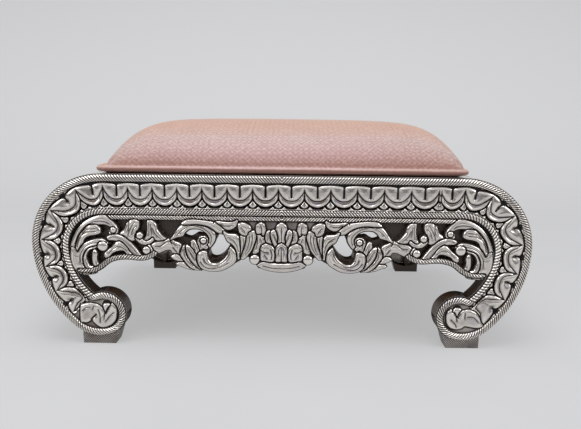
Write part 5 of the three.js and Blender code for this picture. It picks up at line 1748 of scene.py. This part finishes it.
# %% [markdown]
# Pieces that keep their measured shape
#
# Blocks, battens, pegs and screws are plain on a real bench too, and most are hidden inside.
# They could be modelled again, but the frame already has them at their true size, so they are
# carried over and only given a finish: steel, plywood, or the frames' dark wood.

# %% Materials of the carried-over pieces
PLYWOOD_PIECES = ("seat_deck", "cushion_board")
carried = {name: node for name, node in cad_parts.items() if not node.hide_render}
for name, node in carried.items():
    finish = dark_wood
    if "screw" in name:
        finish = steel
    elif name in PLYWOOD_PIECES:
        finish = plywood
    node.data.materials.clear()
    node.data.materials.append(finish)
print("carried over:", len(carried), "pieces")

# %% [markdown]
# Studio
#
# A pale floor runs into a backdrop through a wide curve, so no line shows where they meet. The
# lamps are large and soft. The sky is brighter above than in front, which gives the relief
# its light upper edges and its grey faces.

# %% Studio floor
PAPER_DARK, PAPER_PALE = (0.215, 0.217, 0.222, 1), (0.265, 0.267, 0.272, 1)
PAPER_FAR = (0.41, 0.412, 0.417, 1)
stage_material, kit, shader, place = new_material("studio_paper", Roughness=0.9)
cloud = kit.noise(place, 3.0, 4.0)
paper = kit.mix(cloud, PAPER_DARK, PAPER_PALE)
depth = kit.add("ShaderNodeSeparateXYZ", {0: place}).outputs[1]
paper = kit.mix(kit.ramp(depth, 0.6, 1.8), paper, PAPER_FAR)
rays = kit.add("ShaderNodeLightPath")
seen = kit.sum("MAXIMUM", rays.outputs["Is Camera Ray"], rays.outputs["Is Glossy Ray"])
shader.inputs["Emission Color"].default_value = (0.99, 0.995, 1.0, 1)
wire(kit, shader, Base_Color=paper, Emission_Strength=kit.sum("MULTIPLY", seen, 0.4))

# A flat floor, a quarter circle and a wall, as y and z, carried from left to right
CURVE_START, CURVE_RADIUS, WALL = 900, 900, 3500
FLOOR_FRONT, FLOOR_HALF, FLOOR_COLUMNS = -4000, 5000, 9
curve = np.linspace(0, np.pi / 2, 24)
profile_y = np.concatenate([
    [FLOOR_FRONT, 0], CURVE_START + CURVE_RADIUS * np.sin(curve), [CURVE_START + CURVE_RADIUS],
])
profile_z = np.concatenate([[0, 0], CURVE_RADIUS * (1 - np.cos(curve)), [WALL]])
across = np.linspace(-FLOOR_HALF, FLOOR_HALF, FLOOR_COLUMNS)
floor_points = np.stack([
    np.tile(across, len(profile_y)),
    np.repeat(profile_y, FLOOR_COLUMNS),
    np.repeat(profile_z, FLOOR_COLUMNS),
], axis=1)
floor_faces = grid_faces(len(profile_y), FLOOR_COLUMNS)
floor = make_piece("studio_floor", floor_points, floor_faces, stage_material, sharp=180)
print("studio floor:", len(floor_faces), "faces")

# %% Sky
# Grey levels of the sky, from straight down to straight up
SKY = [(0.0, 0.10), (0.25, 0.12), (0.40, 0.30), (0.55, 0.70), (0.75, 0.75), (1.0, 0.7)]
world = bpy.data.worlds.new("studio_sky")
bpy.context.scene.world = world
world.use_nodes = True
kit = Nodes(world.node_tree)
sky_place = kit.add("ShaderNodeTexCoord").outputs["Generated"]
up = kit.add("ShaderNodeSeparateXYZ", {0: sky_place}).outputs[2]
background = world.node_tree.nodes["Background"]
background.inputs["Strength"].default_value = 1.0
sky_stops = [(share, (level, level, level * 1.02, 1)) for share, level in SKY]
wire(kit, background, Color=kit.stops(kit.ramp(up, -0.3, 1.0), sky_stops))
print("sky levels:", [level for _, level in SKY])

# %% Lamps
BENCH_MIDDLE = (0, 0, 120)


def lamp(name, place, target, size, power):
    """A square soft lamp that faces a target."""
    data = bpy.data.lights.new(name, "AREA")
    data.energy = power
    data.size = size
    light = bpy.data.objects.new(name, data)
    back = np.array(place, float) - np.array(target, float)
    back /= np.linalg.norm(back)
    right = np.cross((0, 0, 1), back)
    right /= np.linalg.norm(right)
    turn = np.eye(4)
    turn[:3, :3] = np.stack([right, np.cross(back, right), back], axis=1)
    turn[:3, 3] = np.array(place) * MM
    light.matrix_world = Matrix(turn.tolist())
    bpy.context.scene.collection.objects.link(light)


lamp("top", (-100, -350, 1500), BENCH_MIDDLE, 0.9, 9)
lamp("left", (-1400, -900, 900), BENCH_MIDDLE, 0.7, 5)
lamp("right", (1400, -700, 800), BENCH_MIDDLE, 0.7, 4)
print("lamps:", len(bpy.data.lights))
